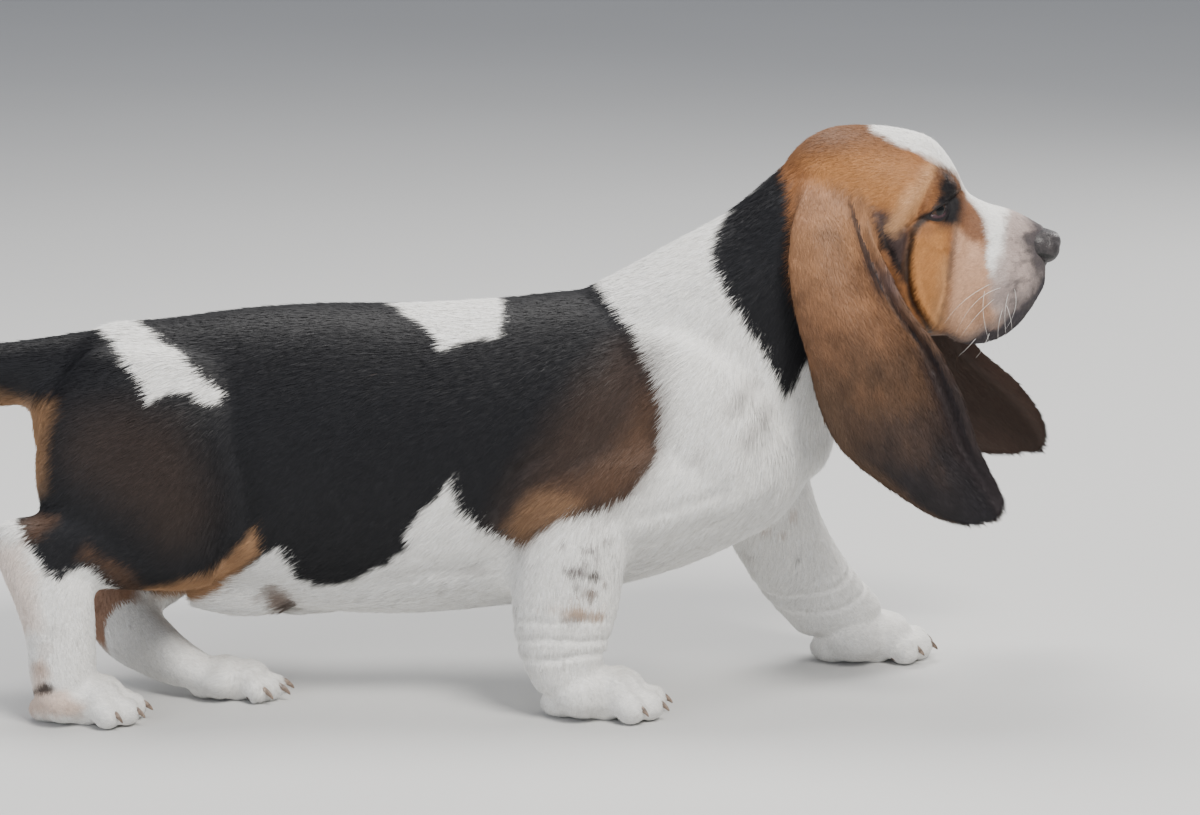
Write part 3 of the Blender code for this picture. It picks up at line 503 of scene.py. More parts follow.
def line_distance(flat, line):
    """Distance of flat points from a broken line, the side of it, positive to its left, and
    the share of the line's length at the nearest place."""
    line = np.asarray(line, float)
    best, sign, share = np.full(len(flat), 1e9), np.ones(len(flat)), np.zeros(len(flat))
    lengths = np.linalg.norm(np.diff(line, axis=0), axis=1)
    before = np.concatenate([[0], np.cumsum(lengths)]) / lengths.sum()
    for k, (a, b) in enumerate(zip(line[:-1], line[1:])):
        ab, ap = b - a, flat - a
        t = np.clip(ap @ ab / (ab @ ab), 0, 1)
        distance = np.linalg.norm(ap - t[:, None] * ab, axis=1)
        closer = distance < best
        best[closer] = distance[closer]
        sign[closer] = np.sign(ab[0] * ap[closer, 1] - ab[1] * ap[closer, 0])
        share[closer] = (before[k] + t * (before[k + 1] - before[k]))[closer]
    return best, sign, share


forms = [flesh_form(rows) for rows in (TORSO, NECK, TAIL, LOWER_JAW, SHEATH, UPPER_ARM)]
forms += [flesh_form(CRANIUM, square=0.95), flesh_form(MUZZLE, square=0.85)]
forms += [flesh_form(rows, m) for rows in (FLEW, CHEEK, BROW, SHOULDER) for m in (False, True)]
forms += [flesh_form(rows) for rows in (FRONT_RIGHT, FRONT_LEFT, THIGH_RIGHT, SHANK_RIGHT, HOCK_RIGHT)]
forms += [flesh_form(rows) for rows in (THIGH_LEFT, SHANK_LEFT, HOCK_LEFT, FLANK_RIGHT, FLANK_LEFT)]
forms += [ball for name in PAWS for ball in paw_balls(name)]
forms += [ear_form(EAR_RIGHT), ear_form(EAR_LEFT)]
skin_mesh = fused(rings_mesh("skin", forms), GRID)
skin = read_points(skin_mesh)
ear_away, ear_at = ear_place(skin)
ear_share = 1 - smooth_step(ear_away, 4.5, 9)
# Little smoothing keeps the small forms of the paws and the muzzle; the ears keep their leather.
low = np.clip((skin[:, 2] - 22) / 25, 0.1, 1)
face = 1 - 0.75 * np.clip((skin[:, 0] - 180) / 25, 0, 1) * np.clip((skin[:, 2] - 180) / 10, 0, 1)
ear_root = smooth_step(ear_at[:, 0], 0.0, 0.14)
pull = 0.6 * low * face * (1 - ear_share * ear_root)
skin = relaxed(skin_mesh, skin, 42, pull + 0.05)
write_points(skin_mesh, skin)


def refined(mesh, points, chosen):
    """The mesh with every edge between two chosen points halved, and its faces with them."""
    shape = bmesh.new()
    write_points(mesh, points)
    shape.from_mesh(mesh)
    shape.verts.ensure_lookup_table()
    picked = set(np.flatnonzero(chosen).tolist())
    edges = [e for e in shape.edges if e.verts[0].index in picked and e.verts[1].index in picked]
    bmesh.ops.subdivide_edges(shape, edges=edges, cuts=1, use_grid_fill=True)
    shape.to_mesh(mesh)
    shape.free()
    return read_points(mesh)


face_zone = (skin[:, 0] > 168) & (skin[:, 2] > 196) & (ear_away > 9)
skin = refined(skin_mesh, skin, face_zone)
for side in (-1, 1):
    eye_zone = np.linalg.norm(skin - EYE_CENTRE * (1, side, 1), axis=1) < 15.5
    skin = refined(skin_mesh, skin, eye_zone)
face_zone = (skin[:, 0] > 165) & (skin[:, 2] > 194)
skin = relaxed(skin_mesh, skin, 3, 0.5 * face_zone)
ear_away, ear_at = ear_place(skin)
ear_share = 1 - smooth_step(ear_away, 4.5, 9)

# How the coat lies: place (x, y, z), the way its hairs point, their length, and how far the
# place is felt. A place off the middle holds for both sides, except on the legs.
LIE = [
    (-290, 0, 216, -1, 0, -0.1, 9, 30),
    (-200, 0, 227, -1, 0, 0, 9, 34),
    (-100, 0, 230, -1, 0, 0, 9, 34),
    (0, 0, 240, -0.95, 0, -0.2, 9, 30),
    (60, 0, 272, -0.8, 0, -0.55, 9, 24),
    (100, 0, 305, -0.85, 0, -0.5, 8, 20),
    (-250, 50, 200, -0.85, 0, -0.5, 9, 26),
    (-180, 52, 200, -0.88, 0, -0.45, 9, 28),
    (-100, 56, 200, -0.88, 0, -0.45, 9, 30),
    (-30, 56, 205, -0.85, 0, -0.5, 9, 26),
    (-180, 66, 145, -0.68, 0, -0.72, 8.5, 26),
    (-110, 69, 145, -0.75, 0, -0.62, 9, 30),
    (-60, 69, 150, -0.7, 0, -0.68, 9, 24),
    (-150, 58, 90, -0.78, 0, -0.6, 9, 24),
    (-90, 58, 92, -0.78, 0, -0.6, 9, 24),
    (-180, 0, 50, -1, 0, 0, 8, 26),
    (-120, 0, 46, -1, 0, 0, 8, 28),
    (-50, 0, 50, -1, 0, 0, 8, 28),
    (-270, 62, 185, -0.85, 0, -0.52, 8.5, 20),
    (-245, 72, 150, -0.7, 0, -0.7, 8, 20),
    (-220, 72, 115, -0.55, 0, -0.82, 8, 16),
    (-295, 70, 150, -0.75, 0, -0.65, 8, 18),
    (-260, 70, 85, -0.9, 0, -0.4, 7.5, 15),
    (-315, 18, 160, -0.2, 0.3, -0.95, 7, 16),
    (20, 60, 200, -0.62, 0, -0.78, 9, 22),
    (10, 68, 160, -0.55, 0, -0.83, 9, 22),
    (50, 72, 135, -0.4, 0, -0.9, 9, 22),
    (-38, 72, 122, -0.75, 0, -0.65, 10, 15),
    (60, 50, 230, -0.65, 0, -0.75, 9.5, 20),
    (92, 48, 205, -0.4, 0, -0.9, 9.5, 20),
    (112, 42, 165, -0.2, 0, -1, 9.5, 20),
    (140, 0, 192, -0.6, 0, -0.8, 8, 18),
    (128, 0, 150, -0.15, 0, -1, 9.5, 22),
    (85, 0, 85, -0.8, 0, -0.55, 9, 22),
    (30, 0, 60, -1, 0, -0.1, 8.5, 24),
    (240, 0, 283, -1, 0, 0.35, 2.2, 9),
    (215, 0, 292, -0.9, 0, 0.4, 2.8, 10),
    (201, 0, 306, -0.6, 0, 0.8, 3.4, 9),
    (180, 0, 328, -1, 0, 0.2, 4.5, 12),
    (140, 0, 332, -1, 0, -0.05, 6, 16),
    (114, 0, 320, -0.9, 0, -0.4, 7.5, 14),
    (238, 21, 262, -0.95, 0, -0.25, 2.3, 9),
    (216, 28, 256, -0.9, 0, -0.45, 3, 10),
    (216, 31, 228, -0.6, 0, -0.8, 3.3, 10),
    (249, 12, 245, -0.4, 0.5, -0.75, 2.2, 7),
    (226, 25, 212, -0.6, 0, -0.8, 3, 9),
    (186, 39, 256, -0.75, 0, -0.65, 4.2, 11),
    (190, 37, 225, -0.6, 0, -0.8, 4.2, 10),
    (192, 34, 276, -0.8, 0, -0.6, 2.6, 7),
    (186, 34, 306, -0.8, 0.2, 0.5, 3.4, 9),
    (168, 42, 296, -0.8, 0, -0.6, 4.5, 12),
    (150, 42, 310, -0.95, 0, -0.3, 5.5, 13),
    (128, 42, 296, -0.9, 0, -0.4, 6, 15),
    (162, 34, 226, -0.8, 0, -0.5, 5.5, 13),
    (228, 0, 214, -1, 0, 0, 3, 9),
    (180, 0, 211, -1, 0, 0, 5, 14),
    (-340, 0, 208, -1, 0, -0.05, 9, 20),
    (-345, 0, 166, -1, 0, -0.12, 10, 18),
    (-400, 0, 190, -0.98, 0, 0.2, 9, 24),
    (-450, 0, 217, -0.82, 0, 0.57, 8, 22),
    (-490, 0, 253, -0.7, 0, 0.75, 7, 20),
]
LEG_LIE = [
    (-20, -84, 92, -0.15, 0, -1, 6.5, 16),
    (-20, -32, 92, -0.15, 0, -1, 6.5, 16),
    (-48, -58, 66, -0.4, 0, -0.9, 7, 10),
    (-20, -80, 50, -0.08, 0, -1, 5, 14),
    (-20, -36, 50, -0.08, 0, -1, 5, 14),
    (8, -58, 58, 0.08, 0, -1, 4.5, 10),
    (0, -58, 30, 0.6, 0, -0.75, 4, 9),
    (24, -60, 15, 0.85, 0, -0.5, 3, 9),
    (-30, -58, 12, -0.1, 0, -1, 4, 10),
    (112, 76, 92, 0.1, 0, -1, 6.5, 16),
    (106, 26, 92, 0.1, 0, -1, 6.5, 16),
    (128, 76, 52, 0.25, 0, -0.95, 5, 14),
    (90, 50, 56, 0, 0, -1, 6.5, 10),
    (150, 52, 55, 0.35, 0, -0.93, 4.5, 10),
    (152, 53, 32, 0.7, 0, -0.65, 4, 10),
    (178, 57, 15, 0.85, 0.1, -0.5, 3, 9),
    (112, 50, 14, -0.1, 0, -1, 4, 10),
    (-302, -82, 96, -0.75, 0, -0.65, 6, 12),
    (-342, -66, 92, -0.15, 0, -1, 6, 10),
    (-308, -88, 60, 0.05, 0, -1, 5, 13),
    (-308, -46, 60, 0.05, 0, -1, 5, 13),
    (-288, -66, 60, 0.1, 0, -1, 4.5, 10),
    (-316, -70, 36, 0.1, 0, -1, 4, 10),
    (-300, -70, 28, 0.5, 0, -0.8, 3.5, 9),
    (-280, -72, 16, 0.85, -0.1, -0.5, 3, 9),
    (-328, -66, 14, -0.1, 0, -1, 4, 9),
    (-250, 64, 86, -0.5, 0, -0.85, 6, 14),
    (-282, 40, 62, -0.2, -0.25, -0.95, 5.5, 13),
    (-262, 10, 36, 0.5, -0.4, -0.75, 4.5, 12),
    (-236, -12, 24, 0.8, -0.3, -0.5, 4, 10),
    (-200, -20, 14, 0.88, 0, -0.45, 3, 9),
    (-308, 22, 38, 0.1, -0.1, -1, 5, 10),
]
EAR_HAIR = 6.2
LIE = np.array(LIE + [(x, -y, z, a, -b, c, n, r) for x, y, z, a, b, c, n, r in LIE if y] + LEG_LIE)


def smooth_noise(points, size, seed):
    """Even noise between -1 and 1: random values on a cubic lattice, blended in each cube by
    a smooth step along its three edges."""
    cell = np.asarray(points) / size + 1000
    corner = np.floor(cell).astype(np.int64)
    t = cell - corner
    t = t * t * (3 - 2 * t)
    total = np.zeros(len(cell))
    for i in (0, 1):
        for j in (0, 1):
            for k in (0, 1):
                x, y, z = (corner + (i, j, k)).T
                hashed = (x * 73856093) ^ (y * 19349663) ^ (z * 83492791) ^ (seed * 2654435761)
                hashed = (hashed ^ (hashed >> 13)) * 1274126177 & 0xFFFFFFFF
                hashed = (hashed ^ (hashed >> 16)) & 0xFFFF
                weight = np.abs(1 - i - t[:, 0]) * np.abs(1 - j - t[:, 1]) * np.abs(1 - k - t[:, 2])
                total += weight * (hashed / 32767.5 - 1)
    return total


def lie_and_length(points, normals):
    """The way the coat lies and its length: the mean of the places above, each weighted by a
    bell of its distance, then turned into the surface; an ear's hair runs from root to tip."""
    sums = np.zeros((len(points), 4))
    weights = np.zeros(len(points))
    for row in LIE:
        square = ((points - row[:3]) ** 2).sum(1)
        weight = np.exp(-square / (2 * row[7] ** 2)) + 1e-7 / (square + 1)
        ahead = row[3:6] / np.linalg.norm(row[3:6])
        sums += weight[:, None] * np.append(ahead, row[6])
        weights += weight
    lie, length = sums[:, :3] / weights[:, None], sums[:, 3] / weights
    away, place = ear_place(points)
    share = (1 - smooth_step(away, 3.5, 7))[:, None]
    ear_way = np.zeros_like(points)
    for table in (EAR_RIGHT, EAR_LEFT):
        line = along_rows(table, 64)
        middle = (line[:, 0:3] + line[:, 3:6]) / 2
        step = np.gradient(middle, axis=0)
        step /= np.linalg.norm(step, axis=1, keepdims=True)
        mine = np.sign(points[:, 1]) == np.sign(table[0][1])
        ear_way[mine] = step[np.clip((place[mine, 0] * 63).round().astype(int), 0, 63)]
    lie = lie * (1 - share) + ear_way * share
    length = length * (1 - share[:, 0]) + EAR_HAIR * share[:, 0]
    lie -= normals * (lie * normals).sum(1, keepdims=True)
    return lie / np.maximum(np.linalg.norm(lie, axis=1, keepdims=True), 1e-6), length


# Folds of loose skin, drawn as they show from the side: depth, width, which side of the
# animal, the height of the roll beside them as a share of the depth, and the line itself.
FOLDS = [
    (3.4, 2.2, 0, 0.5, [
        (188, 304), (184.5, 298), (182, 291), (180.5, 284), (177, 276), (175, 267), (174.2, 256),
        (174.6, 246), (177, 238), (181, 230), (186, 222), (190, 214), (194, 206),
    ], 26),
    (1.8, 2.6, 0, 0.4, [
        (203, 284), (201.5, 272), (199.5, 262), (198, 250), (197, 240), (195.5, 230), (194, 220),
    ], 26),
    (-1.5, 3.6, 0, 0, [(189, 316), (183, 304), (177, 293), (171, 285), (165, 278)], 26),
    (2.6, 4.0, 0, 0, [(150, 290), (156, 278), (162, 266), (168, 255)], 26),
    (2.8, 3.0, 0, 0.12, [(-20, 162), (-36, 151), (-46, 143), (-52, 132), (-56, 122), (-60, 106)], 57),
    (1.4, 2.6, 0, 0.12, [(0, 156), (-20, 146), (-34, 138), (-44, 130), (-50, 118)], 57),
    (1.1, 4.0, 0, 0.1, [(5, 113), (20, 116), (40, 121), (60, 127), (84, 138)], 57),
    (1.5, 5.0, 0, 0.2, [(-50, 90), (-85, 84), (-110, 79), (-150, 73)], 57),
    (1.5, 6.0, 0, 0.2, [(-208, 190), (-206, 160), (-203, 135), (-200, 112), (-194, 90)], 57),
    (1.2, 5.0, 0, 0.4, [(98, 236), (94, 212), (86, 190), (74, 166)], 57),
    (1.2, 5.0, 0, 0.4, [(116, 200), (108, 182), (99, 164), (90, 146)], 57),
    (1.0, 1.8, -1, 0.25, [(-70, 43), (-30, 45), (-10, 43), (26, 48)], 57),
    (1.4, 2.0, -1, 0.25, [(-62, 33), (-26, 32), (-4, 36), (34, 40)], 57),
    (0.5, 2.0, -1, 0.2, [(-74, 58), (-26, 55), (20, 57)], 57),
    (1.2, 1.9, 1, 0.4, [(60, 56), (100, 50), (140, 57), (196, 74)], -50),
    (1.0, 1.9, 1, 0.4, [(60, 48), (100, 38), (140, 42), (196, 60)], -50),
]


def folded(points, normals):
    """How far each fold moves the skin along its normal: down by a bell of the distance from
    its line, and up by a wider bell beside it, fading where the skin turns from the side."""
    moved = np.zeros(len(points))
    for depth, width, side, roll, line, plane in FOLDS:
        if side:
            near = np.flatnonzero(points[:, 1] * side > 8)
            facing = np.ones(len(near))
        else:
            near = np.flatnonzero(ear_share < 0.5)
            facing = smooth_step(np.abs(normals[near, 1]), 0.2, 0.6)
        flat = in_side_view(points[near], abs(plane))
        bounds = np.array(line)
        inside = np.all((flat > bounds.min(0) - 5 * width) & (flat < bounds.max(0) + 5 * width), axis=1)
        near, flat, facing = near[inside], flat[inside], facing[inside]
        wander = smooth_noise(points[near], 14, 7)[:, None] * 0.25 * width
        distance, sign, share = line_distance(flat + wander, line)
        ends = smooth_step(np.minimum(share, 1 - share), -0.06, 0.34)
        down = -depth * np.exp(-((distance / width) ** 2))
        up = roll * depth * np.exp(-(((distance * sign - 1.9 * width) / (1.3 * width)) ** 2))
        moved[near] += (down + up) * facing * ends
    return moved


normals = read_points(skin_mesh, "normal")
write_points(skin_mesh, skin)
normals = read_points(skin_mesh, "normal")
skin = skin + normals * (folded(skin, normals) * (1 - ear_share))[:, None]
write_points(skin_mesh, skin)
normals = read_points(skin_mesh, "normal")
lie, hair = lie_and_length(skin, normals)
# The coat's depth: the skin lies that far inside the solids, and bare skin hardly at all.
depth = 0.2 * hair * (1 - 0.55 * ear_share)
skin = skin - normals * depth[:, None]
skin = relaxed(skin_mesh, skin, 1, 0.3 * (1 - ear_share))


# The lids: a hound's drooping lids lie on the eyeball. The upper one is thin and dark
# rimmed, and the lower one hangs away from the ball and shows the moist pink haw inside it.
GAZE_TURN = 55
LID_LEAN = -22
LID_WIDTH = 7.2
UPPER_LID = 2.1
LOWER_LID = 4.0


def eye_axes(side):
    """Three columns: the gaze, the level line across the opening, and its upright."""
    turn = Matrix.Rotation(math.radians(side * GAZE_TURN), 3, "Z")
    return np.array(turn @ Matrix.Rotation(math.radians(side * LID_LEAN), 3, "X"))


def lid_place(points, side):
    """Places round an eye: distance from the ball's centre, then measured over the ball in
    millimetres: towards the nose, upwards, and inwards from the lids' rim, whose outline is
    nearly an ellipse, shallow above and deep below."""
    away = points - EYE_CENTRE * (1, side, 1)
    ahead, level, up = (away @ eye_axes(side)).T
    noseward = -side * np.arctan2(level, ahead) * EYE_RADIUS
    up = np.arctan2(up, ahead) * EYE_RADIUS
    height = LOWER_LID + (UPPER_LID - LOWER_LID) * smooth_step(up, -1.2, 1.2)
    ring = (np.abs(noseward / LID_WIDTH) ** 1.8 + np.abs(up / height) ** 2) ** (1 / 1.9)
    outside = np.hypot(noseward, up) * (1 / np.maximum(ring, 1) - 1)
    inward = np.where(ahead > 0, np.where(ring < 1, (1 - ring) * height, outside), -99)
    return np.linalg.norm(away, axis=1), noseward, up, inward


def lid_radius(inward, up):
    """How far the lid stands from the ball's centre, by the way in from its rim: a rounded
    rim, then a steep step behind the ball, or below it the haw's slope first."""
    upper = np.interp(inward, [-7, -3.4, -2.8, -1.0, 0, 0.5, 1.1], [2.0, 2.2, 1.7, 2.0, 1.2, -0.2, -2.4])
    lower = np.interp(
        inward, [-7, -4.2, -3.4, -1.0, 0, 0.6, 1.9, 2.9, 3.6], [2.4, 2.5, 2.0, 2.1, 1.4, 1.0, 0.5, -0.3, -2.4]
    )
    low = smooth_step(-up, -0.8, 1.0)
    return EYE_RADIUS + upper * (1 - low) + lower * low


def lid_inward(points):
    """The way in from the rim of the nearer eye's lids, far below zero away from them."""
    inward = np.full(len(points), -99.0)
    for side in (-1, 1):
        near = np.flatnonzero(np.linalg.norm(points - EYE_CENTRE * (1, side, 1), axis=1) < 24)
        inward[near] = lid_place(points[near], side)[3]
    return inward


for side in (-1, 1):
    near = np.flatnonzero(np.linalg.norm(skin - EYE_CENTRE * (1, side, 1), axis=1) < 24)
    distance, _, up, inward = lid_place(skin[near], side)
    share = smooth_step(inward, -7.5, -1.8) * (inward > -50)
    wanted = distance * (1 - share) + lid_radius(inward, up) * share
    centre = EYE_CENTRE * (1, side, 1)
    skin[near] = centre + (skin[near] - centre) * (wanted / distance)[:, None]
write_points(skin_mesh, skin)
normals = read_points(skin_mesh, "normal")

# The markings: black over the back, tan and brown on the head and at the black's edges, and
# white on neck, chest, belly and legs, with a white blaze; a few dark outlines on the head are
# painted shade in its creases and in front of the ears. Each is a closed outline as it shows
# from the side, laid on in this order: colour, side (0 both), softness of its edge in
# millimetres, strength, the plane it is drawn on, and the outline.
WHITE = (0.88, 0.865, 0.83)
BLACK = (0.0075, 0.0075, 0.0095)
TAN = (0.43, 0.19, 0.062)
RUST = (0.255, 0.106, 0.039)
BROWN = (0.12, 0.062, 0.034)
DARK = (0.035, 0.022, 0.017)
PALE_TAN = (0.56, 0.31, 0.15)
PINK_TAN = (0.55, 0.325, 0.205)
GREY = (0.17, 0.145, 0.14)
FRECKLED = (0.43, 0.345, 0.315)
PALE_RUST = (0.36, 0.20, 0.10)
SOOT = (0.045, 0.028, 0.021)
CHESTNUT = (0.21, 0.095, 0.048)
SLATE = (0.038, 0.034, 0.041)
PALE_PINK = (0.72, 0.58, 0.50)
PATCHES = [
    (BLACK, 0, 1.5, 1, 57, [
        (-4, 300), (3, 252), (8, 241), (18, 229), (24, 220), (28, 210), (33, 200), (35, 190), (36, 178),
        (35, 168), (33, 158), (30, 149), (24, 140), (15, 131), (5, 125), (-5, 121), (-20, 118), (-28, 112),
        (-35, 106), (-42, 102), (-48, 104), (-53, 108), (-60, 109), (-65, 112), (-71, 119), (-78, 122),
        (-80, 129), (-83, 142), (-88, 133), (-95, 125), (-103, 118), (-107, 110), (-105, 104), (-110, 98),
        (-118, 91), (-130, 85), (-140, 80), (-150, 77), (-160, 78), (-168, 80), (-172, 85), (-175, 92),
        (-181, 101), (-187, 97), (-193, 91), (-199, 87), (-207, 82), (-214, 75), (-222, 71), (-232, 69),
        (-245, 67), (-258, 69), (-270, 74), (-276, 77), (-282, 83), (-288, 88), (-294, 88), (-300, 85),
        (-305, 80), (-309, 79), (-314, 86), (-319, 93), (-323, 101), (-326, 108), (-328, 117), (-345, 132),
        (-560, 132), (-560, 320), (-4, 320),
    ]),
    (SOOT, 0, 16, 0.9, 57, [
        (34, 214), (38, 182), (34, 158), (24, 138), (4, 124), (-26, 120), (-46, 104), (-56, 112), (-48, 134),
        (-34, 156), (-22, 176), (-8, 196), (12, 216),
    ]),
    (BROWN, 0, 9, 0.6, 57, [
        (35, 190), (36, 176), (34, 158), (24, 140), (8, 128), (-26, 122), (-42, 106), (-50, 112), (-42, 126),
        (-24, 138), (-4, 146), (10, 158), (20, 176), (26, 192),
    ]),
    (PALE_RUST, 0, 6, 0.45, 57, [
        (-22, 133), (-34, 134), (-44, 124), (-50, 112), (-46, 104), (-39, 104), (-30, 112), (-16, 120),
        (-8, 128),
    ]),
    (SOOT, 0, 18, 0.6, 57, [
        (-226, 150), (-236, 172), (-262, 182), (-292, 178), (-303, 158), (-296, 142), (-262, 118), (-244, 100),
        (-228, 104), (-220, 122),
    ]),
    (PALE_RUST, 0, 3.5, 0.95, 57, [
        (-194, 112), (-201, 101), (-212, 92), (-224, 84), (-240, 79), (-256, 75), (-259, 68), (-245, 65),
        (-232, 67), (-222, 70), (-214, 74), (-206, 82), (-197, 91), (-192, 96),
    ]),
    (BROWN, 0, 5, 0.6, 57, [
        (-262, 72), (-272, 78), (-284, 90), (-296, 94), (-290, 100), (-276, 92), (-264, 84), (-258, 76),
    ]),
    (BROWN, 0, 4, 0.5, 57, [(-306, 117), (-318, 119), (-327, 113), (-325, 104), (-318, 104), (-312, 110)]),
    (WHITE, -1, 1.2, 1, 57, [
        (-284, 262), (-278, 230), (-271, 219), (-266, 211), (-261, 203), (-256, 195), (-252, 183), (-246, 187),
        (-238, 190), (-229, 190), (-222, 185), (-215, 183), (-211, 189), (-218, 196), (-225, 203), (-233, 212),
        (-243, 219), (-254, 227), (-262, 262),
    ]),
    (WHITE, 1, 1.2, 1, 57, [
        (-285, 262), (-281, 228), (-279, 215), (-272, 206), (-262, 203), (-254, 209), (-250, 218), (-254, 226),
        (-263, 232), (-265, 262),
    ]),
    (WHITE, -1, 1.2, 1, 60, [
        (-126, 262), (-124, 243), (-110, 238), (-102, 232), (-95, 227), (-90, 222), (-88, 216), (-84, 213),
        (-79, 216), (-70, 219), (-60, 220), (-54, 222), (-52, 230), (-50, 240), (-50, 262),
    ]),
    (WHITE, 1, 1.2, 1, 60, [
        (-126, 262), (-124, 243), (-108, 236), (-92, 232), (-76, 228), (-62, 231), (-54, 238),
        (-50, 244), (-50, 262),
    ]),
    (BLACK, 0, 1.5, 1, 57, [
        (99, 345), (96, 312), (88, 306), (80, 300), (74, 291), (68, 281), (65, 272), (66, 263), (70, 255),
        (73, 245), (78, 238), (83, 230), (90, 220), (95, 213), (98, 205), (102, 197), (105, 189), (110, 192),
        (116, 204), (126, 218), (130, 240), (130, 345),
    ]),
    (GREY, 0, 5, 0.34, 57, [(96, 196), (88, 186), (76, 178), (70, 182), (78, 192), (88, 200)]),
    (GREY, 0, 5, 0.4, 57, [(94, 186), (88, 174), (80, 164), (84, 158), (92, 170), (98, 182)]),
    (GREY, 0, 4, 0.3, 57, [(58, 158), (50, 152), (46, 148), (54, 148), (60, 154)]),
    (GREY, 0, 4, 0.22, 57, [(70, 232), (64, 224), (66, 214), (72, 222)]),
    # The head.
    (RUST, 0, 3, 1, 50, [
        (107, 345), (103, 322), (106, 304), (108, 282), (108, 262), (112, 242), (120, 226), (134, 214), (160, 202),
        (200, 190), (275, 190), (275, 345),
    ]),
    (TAN, 0, 9, 0.75, 26, [
        (118, 318), (150, 322), (176, 318), (184, 300), (172, 286), (150, 290), (126, 292),
    ]),
    (BROWN, 0, 9, 0.55, 26, [(104, 350), (108, 318), (130, 322), (156, 326), (168, 323), (164, 350)]),
    # Painted shade: a dark slate patch on the temple between the ear's front fold and the cheek, and a black line along
    # that fold's crease.
    (SLATE, 0, 4, 0.85, 26, [
        (150, 292), (154, 289), (161, 288), (170, 284), (176, 275), (178, 259), (176, 246), (172, 250), (165, 263),
        (157, 277), (151, 287),
    ]),
    (BLACK, 0, 1.8, 0.9, 26, [
        (150, 291), (156, 277), (162, 266), (169, 255), (174, 247), (176, 248), (171, 258), (165, 268),
        (159, 279), (154, 290),
    ]),
    (PALE_TAN, 0, 3.5, 0.85, 26, [
        (190, 318), (183, 311), (177, 302), (171, 293), (166, 285), (164, 278), (169, 274), (174, 281), (180, 289),
        (185, 297), (189, 305), (193, 314),
    ]),
    (RUST, 0, 2.5, 0.75, 26, [
        (184, 297), (188, 305), (191, 311), (193, 307), (192, 299), (190, 291), (184, 287), (180, 285),
    ]),
    (TAN, 0, 4, 1, 26, [
        (179, 276), (190, 279), (198, 276), (197, 262), (196, 246), (195, 230), (197, 216), (190, 214),
        (184, 224), (177, 238), (175, 254), (176, 268),
    ]),
    (RUST, 0, 3, 0.7, 26, [(182, 280), (190, 279), (192, 275), (186, 272), (180, 274)]),
    (PINK_TAN, 0, 4, 0.92, 26, [
        (200, 282), (208, 276), (216, 270), (220, 258), (224, 246), (232, 240), (234, 226), (228, 212), (202, 208),
        (197, 222), (199, 240), (201, 256), (201, 270),
    ]),
    (PALE_TAN, 0, 3.5, 0.5, 26, [
        (196, 262), (193, 250), (190, 232), (189, 218), (194, 214), (198, 226), (200, 246),
    ]),
    (CHESTNUT, 0, 3, 0.9, 26, [
        (202, 306), (207, 296), (212, 291), (219, 286), (221, 279), (220, 272), (212, 269), (205, 275),
        (202, 286), (200, 297),
    ]),
    (BROWN, 0, 4, 0.35, 26, [(214, 240), (222, 236), (226, 222), (220, 216), (212, 226)]),
    (DARK, 0, 4.5, 0.7, 26, [
        (190, 314), (197, 314), (203, 306), (206, 298), (207.5, 289), (206, 280), (200, 276), (192, 277),
        (190, 284), (193, 292), (193.5, 299), (190, 306),
    ]),
    (BLACK, 0, 1.8, 0.97, 26, [
        (194, 309), (198, 308), (201.5, 302), (203.5, 295), (204.5, 288), (203, 281.5), (199, 279), (195.5, 281),
        (191, 282), (185, 282.5), (181.5, 281.5), (183, 285), (188, 287), (192.5, 291), (194.5, 297), (194, 303),
    ]),
    # Painted shade: dark strips along the creases of the two cheek folds.
    (DARK, 0, 2.0, 0.9, 26, [
        (186, 284), (180.5, 281), (176.5, 274), (173.5, 262), (172.5, 248), (176, 236), (185, 221), (193, 208),
        (195, 209), (187, 222), (178.5, 237), (175.5, 248), (176.5, 262), (179, 273), (182, 279), (187, 282),
    ]),
    (DARK, 0, 1.8, 0.55, 26, [
        (202, 281), (199.5, 270), (198, 256), (196.5, 240), (193, 222), (194.5, 222), (198.5, 240), (200.5, 256),
        (202.5, 270), (204.5, 281),
    ]),
    (WHITE, 0, 2.2, 1, 26, [
        (226, 246), (222, 250), (220.5, 258), (219.5, 270), (219.5, 280), (217, 285), (212, 289.5), (207.5, 294),
        (204, 303), (199.5, 309), (193, 313), (186, 317), (180, 320), (172, 323), (165, 326), (160, 330), (155, 334),
        (150, 350), (240, 350), (240, 290), (234, 285), (231.5, 276), (231, 264), (232.5, 252), (230, 244),
    ]),
    (GREY, 0, 3, 0.85, 26, [
        (236, 288), (234, 280), (237, 272), (246, 267), (250, 268), (262, 284), (250, 294),
    ]),
    (SLATE, 0, 2.5, 0.8, 26, [
        (238, 287), (239, 280), (242, 275), (242, 267), (244, 262), (247, 256), (252, 247), (264, 262),
        (262, 284), (250, 294),
    ]),
    (FRECKLED, 0, 4, 0.95, 26, [
        (230, 282), (233, 290), (242, 288), (247, 270), (256, 262), (258, 250), (256, 236), (250, 226), (240, 218),
        (230, 220), (222, 236), (222, 248), (228, 262),
    ]),
    (GREY, 0, 2.5, 0.65, 26, [
        (238, 272), (240, 263), (243, 254), (248, 245), (258, 245), (262, 256), (254, 262), (248, 270),
    ]),
    (SLATE, 0, 2.0, 0.8, 26, [
        (241, 274), (243, 266), (245, 257), (250, 249), (258, 247), (264, 256), (256, 270), (248, 276),
    ]),
    (GREY, 0, 3, 0.5, 26, [(222, 236), (228, 232), (236, 236), (240, 246), (236, 250), (228, 244)]),
    (GREY, 0, 3.0, 0.7, 26, [
        (190, 219), (197, 218), (207, 217), (216, 219), (224, 226), (234, 233), (242, 242), (248, 254), (262, 256),
        (266, 236), (250, 210), (226, 190), (190, 190),
    ]),
